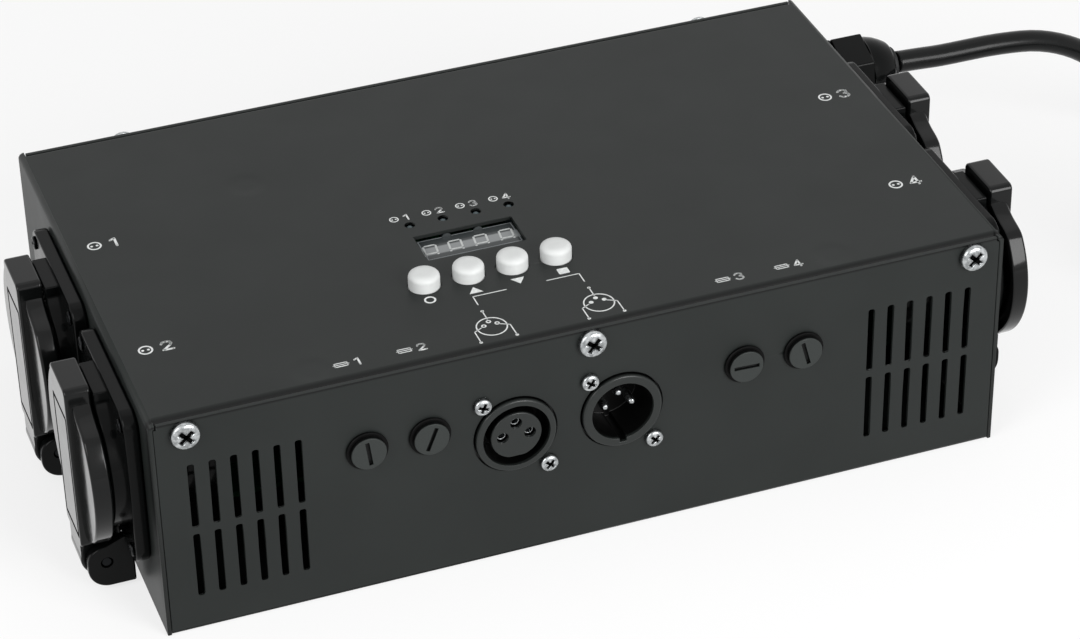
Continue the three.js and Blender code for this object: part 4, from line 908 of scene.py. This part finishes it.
def socket_body():
    """Flange, collar and well with the plug's contact holes, and the two hinge lugs under them."""
    flange = softened(prism("x", rounded(-25.0, 25.0, -25.0, 25.0, 5.5, 10), 0.3, 4.4), 0.7)
    collar = softened(rod("x", 22.0, 3.0, 8.4, steps=96), 0.6)
    lug = [(1.8, -24.8), (1.8, -40.8), *arc(9.0, -34.7, 6.1, -90, 0, 14), *arc(PIVOT_X, PIVOT_Z, 5.4, 0, 90, 14),
           (4.2, -24.8)]
    lugs = [softened(prism("y", lug, *ends), 0.6) for ends in ((-9.3, -6.2), (6.2, 9.3))]
    catch = softened(block((3.5, 8.4), (-8.0, 8.0), (19.5, 23.7)), 0.5)
    body = grown(flange, rod("x", 21.2, -24.0, 4.0, steps=96), collar, catch, *lugs)
    body = carved(body, rod("x", 19.5, -9.1, 9.5, steps=96), pin_hole(),
                  *[rod("x", 2.6, -21.1, -8.5, (y, 0.0), 32) for y in (-9.5, 9.5)])
    return eased(body, 0.25)


def strap_line(gap, start, end):
    """The frame line on a lid's strap, drawn in by a gap on both of its edges."""
    a, b, c, d = STRAP_LINE
    inner = LINE_WIDTH - gap
    return carved(prism("x", rounded(a + gap, b - gap, c + gap, d - gap, 1.0), start, end),
                  prism("x", rounded(a + inner, b - inner, c + inner, d - inner, 0.4), 14.0, 18.0))


def lid_body():
    """Round lid, drawn in beside its tab, with the strap that ends in the hinge knuckle."""
    flare = smooth_route([(0, 20.45, 15.25), (0, 19.5, 16.35), (0, 17.9, 17.3), (0, 15.8, 18.0), (0, 13.4, 18.7),
                          (0, 11.2, 19.7), (0, 9.4, 20.8), (0, 8.3, 21.4)], 3)
    flare = [(p.y, p.z) for p in flare[1:]]
    outline = [*arc(0, 0, 25.5, 143.4, 396.6, 72), *flare, *[(-a, b) for a, b in reversed(flare)]]
    disc = softened(prism("x", outline, 9.2, 14.5), 0.8)
    strap = softened(prism("x", rounded(-8.5, 8.5, -26.8, 26.4, 2.0, 8), 9.0, 16.3), 0.7)
    knuckle = softened(rod("y", 6.6, -5.9, 5.9, (PIVOT_X, PIVOT_Z), 64), 0.6)
    body = grown(strap, disc, block((9.0, 16.1), (-5.9, 5.9), (-32.5, -25.0)), knuckle)
    pocket = block((2.0, PIVOT_X), (-2.5, 2.5), (-40.1, -25.9))
    body = carved(body, strap_line(0.0, 14.9, 17.5), pin_hole(), rod("y", 3.4, -2.5, 2.5, (PIVOT_X, PIVOT_Z)),
                  pocket)
    return eased(body, 0.12)


def spring_body():
    """Torsion spring of the lid: four turns on the pin, one leg bearing on the flange."""
    turns, radius, half = 4.0, 2.65, 1.75
    coil = [Vector((PIVOT_X + radius * math.sin(math.tau * t), half - 2 * half * t / turns,
                    PIVOT_Z + radius * math.cos(math.tau * t))) for t in (turns * i / 96 for i in range(97))]
    leg = smooth_route([(x, half, PIVOT_Z + z) for x, z in (
        (PIVOT_X, radius), (7.6, 2.7), (5.4, 3.6), (4.85, 6.0), (4.85, 8.8))], 5)
    path = [*reversed(leg), *coil[1:]]
    return eased(tube(path, 0.4, 8, (0, 1, 0)), 0)


def add_sockets(tree):
    """Four sockets with their lids, hinge pins, springs and earth clips."""
    body, lid, line, spring = socket_body(), lid_body(), strap_line(0.05, 14.95, 16.26), spring_body()
    pin = eased(turned("y", [(1.2, -9.0), (1.5, -8.7), (1.5, 8.7), (1.2, 9.0)], (PIVOT_X, PIVOT_Z), 32), 0)
    clips, turns = [], []
    for name, place in socket_places():
        dress(body, f"{name}_well", "body", stands_for=(f"{name}_socket",), place=place)
        dress(lid, f"{name}_flap", "lid", f"{name}_lid", (f"{name}_lid",), place=place)
        # A black line fills the groove on each strap: painted shade of the groove.
        dress(line, f"{name}_flap_line", "painted_shade", f"{name}_lid", place=place)
        dress(pin, f"{name}_pin", "pin", stands_for=(f"{name}_hinge_pin",), place=place)
        dress(spring, f"{name}_coil", "spring", stands_for=(f"{name}_lid_spring",), place=place)
        clips += [place.translation] * 2
        turns += [(math.pi * half, 0, math.pi if name.startswith("left") else 0) for half in (0, 1)]
    strip = [(-9.0, 19.3), (-5.0, 18.8), (-1.5, 16.6), (0.5, 15.6), (2.5, 16.6), (4.5, 19.3), (5.0, 19.3),
             (3.1, 16.2), (0.7, 14.9), (-1.9, 16.1), (-5.3, 18.2), (-9.0, 18.7)]
    earth = fitted(tree, eased(prism("y", strip, -2.2, 2.2), 0.12), clips, turns, "zinc")
    dress(earth, "earth_clips", "zinc")
    drop(body, lid, line, spring, pin, earth)


# ---------------------------------------------------------------- front panel fittings

CONTACTS = ((-4.0, 0.0), (0.0, 4.0), (4.0, 0.0))


def connector_shell():
    """Flanged shell of a panel connector behind the front, its nose through the hole."""
    nose = softened(rod("y", 11.8, -1.25, 25.0, steps=96), 0.7)
    return grown(nose, softened(prism("y", rounded(-13.0, 13.0, -15.5, 15.5, 3.0), 1.5, 3.0), 0.2))


def shell_screw_holes():
    return [rod("y", 1.75, 0.0, 8.0, (side * DATA_SCREW[0], -side * DATA_SCREW[1]), 32) for side in SIDES]


def add_connectors():
    """The data connectors: out with its holes and sleeves, in with its three pins."""
    out_place, in_place = (Matrix.Translation((x, FRONT, DATA_Z)) for x in DATA_XS)
    key = block((-8.0, 8.0), (-2.0, 12.0), (-9.0, -6.9))
    core = carved(softened(rod("y", 7.45, -0.9, 11.0, steps=64), 0.4), key)
    body = grown(carved(connector_shell(), rod("y", 9.85, -2.0, 10.0, steps=96)), core)
    body = carved(body, *[rod("y", 1.7, -2.0, 7.0, p, 32) for p in CONTACTS], *shell_screw_holes())
    eased(body, 0.15)
    dress(body, "data_out_shell", "shell", stands_for=("data_out_socket",), place=out_place)
    sleeves = eased(cluster(*[carved(rod("y", 1.3, 0.5, 7.0, p, 24), rod("y", 1.0, -1.0, 6.0, p, 24))
                              for p in CONTACTS]), 0.08)
    dress(sleeves, "data_out_sleeves", "zinc", place=out_place)
    drop(body, sleeves)
    groove = block((-1.0, 1.0), (-2.0, 12.0), (-10.35, -6.0))
    body = carved(connector_shell(), rod("y", 9.15, -2.0, 12.0, steps=96), groove,
                  *[rod("y", 1.5, 11.0, 26.0, p, 32) for p in CONTACTS], *shell_screw_holes())
    eased(body, 0.3)
    dress(body, "data_in_shell", "shell", stands_for=("data_in_socket",), place=in_place)
    pins = eased(cluster(*[turned("y", [(0.35, 2.0), (0.8, 2.2), (1.1, 2.8), (1.2, 3.6), (1.2, 29.0)], p, 32)
                           for p in CONTACTS]), 0)
    dress(pins, "data_in_prongs", "zinc", stands_for=[f"data_in_pin_{i}" for i in (1, 2, 3)], place=in_place)
    drop(body, pins)


def add_fuses():
    """Bayonet fuse holders with their slotted caps and glass links."""
    holder = softened(turned("y", [(5.5, 32.0), (5.5, -0.3), (6.0, -0.3), (6.0, -0.75), (5.8, -1.0)], steps=64), 0.05)
    holder = eased(carved(holder, rod("y", 4.6, -2.0, 15.0), rod("y", 2.9, 14.0, 29.0, steps=32)), 0.1)
    cap = turned("y", [(4.3, 9.0), (4.3, -1.15), (5.05, -1.15), (5.05, -2.1), (4.95, -2.32), (4.75, -2.4)], steps=64)
    cap = carved(cap, rod("y", 2.9, -0.5, 10.0, steps=32), block((-0.58, 0.58), (-3.0, -1.3), (-3.8, 3.8)))
    cap = eased(cap, 0.1)
    glass = turned("y", [(2.45, 1.0), (2.45, 18.6), (1.95, 18.6), (1.95, 1.0)], steps=32, hollow=True)
    ends = [turned("y", [(1.6, a), (2.6, b), (2.6, c), (2.45, d)], steps=32)
            for a, b, c, d in ((-0.2, 0.1, 5.0, 5.2), (19.8, 19.5, 14.6, 14.4))]
    metal = eased(cluster(*ends, rod("y", 0.12, 5.0, 14.8, steps=8)), 0)
    glass = eased(glass, 0)
    for i, (x, angle) in enumerate(zip(FUSE_XS, SLOT_ANGLES), 1):
        place = Matrix.Translation((x, FRONT, FUSE_Z))
        dress(holder, f"fuse_barrel_{i}", "bakelite", stands_for=(f"fuse_holder_{i}",), place=place)
        dress(cap, f"fuse_knob_{i}", "knob", f"fuse_cap_{i}", (f"fuse_cap_{i}",),
              place=place @ Matrix.Rotation(math.radians(angle), 4, "Y"))
        dress(glass, f"fuse_tube_{i}", "glass", f"fuse_{i}", (f"fuse_{i}",), place=place)
        dress(metal, f"fuse_ends_{i}", "zinc", f"fuse_{i}", place=place)
    drop(holder, cap, glass, metal)


# ---------------------------------------------------------------- controls under the cover

def add_buttons():
    """Four round key tops with their collars under the cover."""
    crown = [(4.5, 0.2), (4.5, 2.7), (4.46, 3.1), (4.34, 3.45), (4.14, 3.74), (3.86, 3.98), (3.5, 4.16),
             (3.0, 4.3), (2.4, 4.37), (1.6, 4.4), (0.8, 4.4)]
    cap = eased(turned("z", [(2.2, -3.3), (2.2, -2.5), (5.4, -2.5), (5.4, -1.5), (4.5, -1.5), *crown], steps=64), 0)
    for i, x in enumerate(BUTTON_XS, 1):
        dress(cap, f"key_top_{i}", "white", f"button_{i}", (f"button_{i}",),
              place=Matrix.Translation((x, BUTTON_Y, TOP)))
    drop(cap)


BAR_HALF, BAR_HEIGHT = 0.3, 0.02


def digit_bar(start, end):
    """One bar of a digit with pointed ends, upright or level."""
    (ax, ay), (bx, by), half = start, end, BAR_HALF
    if ax == bx:
        outline = [(ax, ay), (ax + half, ay + half), (ax + half, by - half), (bx, by), (ax - half, by - half),
                   (ax - half, ay + half)]
    else:
        outline = [(ax, ay), (ax + half, ay - half), (bx - half, ay - half), (bx, by), (bx - half, ay + half),
                   (ax + half, ay + half)]
    return prism("z", outline, 0.0, BAR_HEIGHT)


def add_controls(tree):
    """Control board with its switches and lights, and the display with its four digits."""
    board = carved(block((-45.0, 15.0), (-50.0, 5.0), (CONTROL_TOP - 1.6, CONTROL_TOP)),
                   *[rod("z", 1.6, 58.0, 61.0, (x, y), 24) for x in STUD_XS for y in STUD_YS])
    header = block((-25.0, -5.0), (-5.0, 0.0), (50.7, 58.9))
    board = eased(grown(board, header), 0.1)
    level = [(0, 0, 0)] * 4
    switch = eased(grown(block((-5.5, 5.5), (-5.5, 5.5), (0.0, 3.5)), rod("z", 1.7, 3.0, 6.6)), 0.2)
    switches = fitted(tree, switch, [(x, BUTTON_Y, CONTROL_TOP) for x in BUTTON_XS], level, "body")
    light = eased(turned("z", [(1.4, 0.0), *arc(0.0, 8.95, 1.4, 0, 84, 7)], steps=32), 0)
    lights = fitted(tree, light, [(x, LIGHT_Y, CONTROL_TOP) for x in LIGHT_XS], level, "epoxy")
    face = softened(block((-31.025, -0.775), (-26.1, -12.2), (60.6, DISPLAY_TOP)), 0.2)
    clips = [rod("y", 1.5, -12.8, -12.6, (x, 68.5), 24) for x in (-20.8, -11.3)]
    face = eased(cluster(face, *clips), 0)
    wide, high, gap = 1.85, 2.03, 0.1
    bars = [digit_bar((gap - wide, y), (wide - gap, y)) for y in (2 * high, 0.0)]
    for x in (-wide, wide):
        bars += [digit_bar((x, gap), (x, 2 * high - gap)),
                 block((x - BAR_HALF, x + BAR_HALF), (-1.0, -0.4), (0.0, BAR_HEIGHT))]
    lean = Matrix(((1, 0.12, 0, 0), (0, 1, 0, 0), (0, 0, 1, 0), (0, 0, 0, 1)))
    digits = fitted(tree, moved(cluster(*bars), lean), [(x, -19.55, DISPLAY_TOP) for x in DIGIT_XS], level, "segment")
    rim = carved(prism("z", rounded(-29.6, -1.3, -22.7, -12.55, 0.3), DISPLAY_TOP - 0.02, DISPLAY_TOP + 0.02),
                 prism("z", rounded(-29.3, -1.6, -22.4, -12.8, 0.2), 68.0, 69.5))
    dress(board, "control_laminate", "control", stands_for=("control_board",))
    dress(switches, "key_switches", "shell")
    dress(lights, "indicator_lights", "epoxy")
    dress(face, "display_filter", "filter", stands_for=("display_module",))
    dress(rim, "display_rim", "rim")
    dress(digits, "display_digits", "segment")
    drop(board, switches, lights, face, rim, digits)


def finish_carried():
    """Better materials for the CAD nodes that stay: power board, heat sink and transformer."""
    for node, finish in (("power_board", "power"), ("heat_sink", "alloy"), ("transformer", "iron")):
        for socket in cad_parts[node].material_slots:
            socket.material = FINISHES[finish]


# ---------------------------------------------------------------- white print on the cover

INK = 0.015


def dot(place, radius, steps=16):
    return rod("z", radius, 0.0, INK, place, steps)


def patch(outline):
    return prism("z", outline, 0.0, INK)


def stroke(points, wide=0.34):
    """A printed line along the points, with round ends and corners."""
    bodies = [dot(p, wide / 2) for p in points]
    for (ax, ay), (bx, by) in zip(points, points[1:]):
        length = math.hypot(bx - ax, by - ay)
        nx, ny = -(by - ay) / length * wide / 2, (bx - ax) / length * wide / 2
        bodies.append(patch([(ax + nx, ay + ny), (bx + nx, by + ny), (bx - nx, by - ny), (ax - nx, ay - ny)]))
    return bodies


def ring(place, outer, inner):
    return turned("z", [(outer, 0.0), (outer, INK), (inner, INK), (inner, 0.0)], place, 48, hollow=True)


NUMERALS = {
    1: [(-0.3, 0.3), (0.05, 0.5), (0.05, -0.5)],
    2: [(-0.36, 0.28), (-0.26, 0.45), (0.0, 0.5), (0.28, 0.44), (0.36, 0.25), (0.26, 0.05), (-0.36, -0.46),
        (0.38, -0.46)],
    3: [(-0.36, 0.32), (-0.2, 0.48), (0.12, 0.5), (0.32, 0.4), (0.32, 0.15), (0.08, 0.03), (0.34, -0.1),
        (0.36, -0.32), (0.14, -0.49), (-0.2, -0.48), (-0.38, -0.3)],
    4: [(0.16, -0.5), (0.16, 0.5), (-0.42, -0.24), (0.4, -0.24)],
}


def number(digit, place, height):
    """A plain number in a broad cut, its middle at the place."""
    return stroke([(place[0] + 0.95 * height * a, place[1] + height * b) for a, b in NUMERALS[digit]],
                  0.19 * height)


def socket_mark(place, radius):
    """The usual sign of a round socket: a ring with two dots."""
    x, y = place
    return [ring(place, radius, 0.74 * radius), *[dot((x + side * 0.38 * radius, y), 0.2 * radius) for side in SIDES]]


def fuse_mark(place, long):
    """The usual sign of a fuse: a bar drawn through by its wire."""
    x, y = place
    wide = 0.22 * long
    return [*stroke([(x - 0.62 * long, y), (x + 0.62 * long, y)], 0.3),
            *stroke([(x - long / 2, y - wide), (x + long / 2, y - wide), (x + long / 2, y + wide),
                     (x - long / 2, y + wide), (x - long / 2, y - wide)], 0.36)]


def add_print():
    """Screen print: plain numbers, key marks, and the pins of the two connectors with their leaders."""
    marks = []
    for i, (x, y) in enumerate(((-113.4, 16.6), (-113.3, -39.2), (112.3, 14.8), (111.0, -38.0)), 1):
        marks += [*socket_mark((x - 2.9, y), 2.1), *number(i, (x + 3.1, y), 4.0)]
    for i, x in enumerate((-66.9, -48.9, 44.4, 62.2), 1):
        marks += [*fuse_mark((x - 2.0, -65.4), 3.6), *number(i, (x + 2.9, -65.4), 3.0)]
    for i, x in enumerate((-31.0, -21.2, -11.0, -0.9), 1):
        marks += [*socket_mark((x - 1.9, -1.9), 1.4), *number(i, (x + 2.0, -1.9), 2.7)]
    for side, x, leader in ((-1, -25.0, -15.2), (1, 6.4, -3.2)):
        marks += [*stroke([(leader, -47.6), (x, -47.6), (x, -51.9)]), *stroke([(x, -55.2), (x, -59.5)]),
                  *stroke([(x - 2.9, -62.9), (x - 5.3, -64.2), (x - 5.3, -69.3)]),
                  *stroke([(x + 2.3, -62.7), (x + 5.0, -64.1), (x + 5.1, -69.3)]), ring((x, -63.2), 4.45, 4.05),
                  *[dot(place, 0.5, 20) for place in ((x - 5.3, -69.5), (x + 5.1, -69.5), (x, -55.3))]]
        for place in ((x - 2.0, -62.3), (x - 0.1, -60.7), (x + 1.9, -62.2)):
            marks.append(ring(place, 0.75, 0.35) if side < 0 else dot(place, 0.68, 24))
    y, (left, up, down, right) = -44.7, (-36.5, -23.4, -10.4, 2.8)
    marks += [ring((left, y), 1.7, 1.15), patch([(up - 2.0, y - 1.4), (up + 2.0, y - 1.4), (up, y + 1.6)]),
              patch([(down - 2.0, y + 1.4), (down, y - 1.6), (down + 2.0, y + 1.4)]),
              patch(rounded(right - 1.6, right + 1.6, y - 1.4, y + 1.4, 0.3))]
    body = cluster(*marks)
    dress(body, "screen_print", "ink", place=Matrix.Translation((0.0, 0.0, TOP + 0.004)))
    drop(body)


add_camera()
mix_finishes()
add_light()
add_floor()
add_lead()
add_tray()
add_cover()
fittings = fitted_at_points()
add_screws(fittings)
add_sockets(fittings)
add_connectors()
add_fuses()
add_buttons()
add_controls(fittings)
add_print()
finish_carried()

view = bpy.context.scene.view_settings
view.view_transform = "Standard"
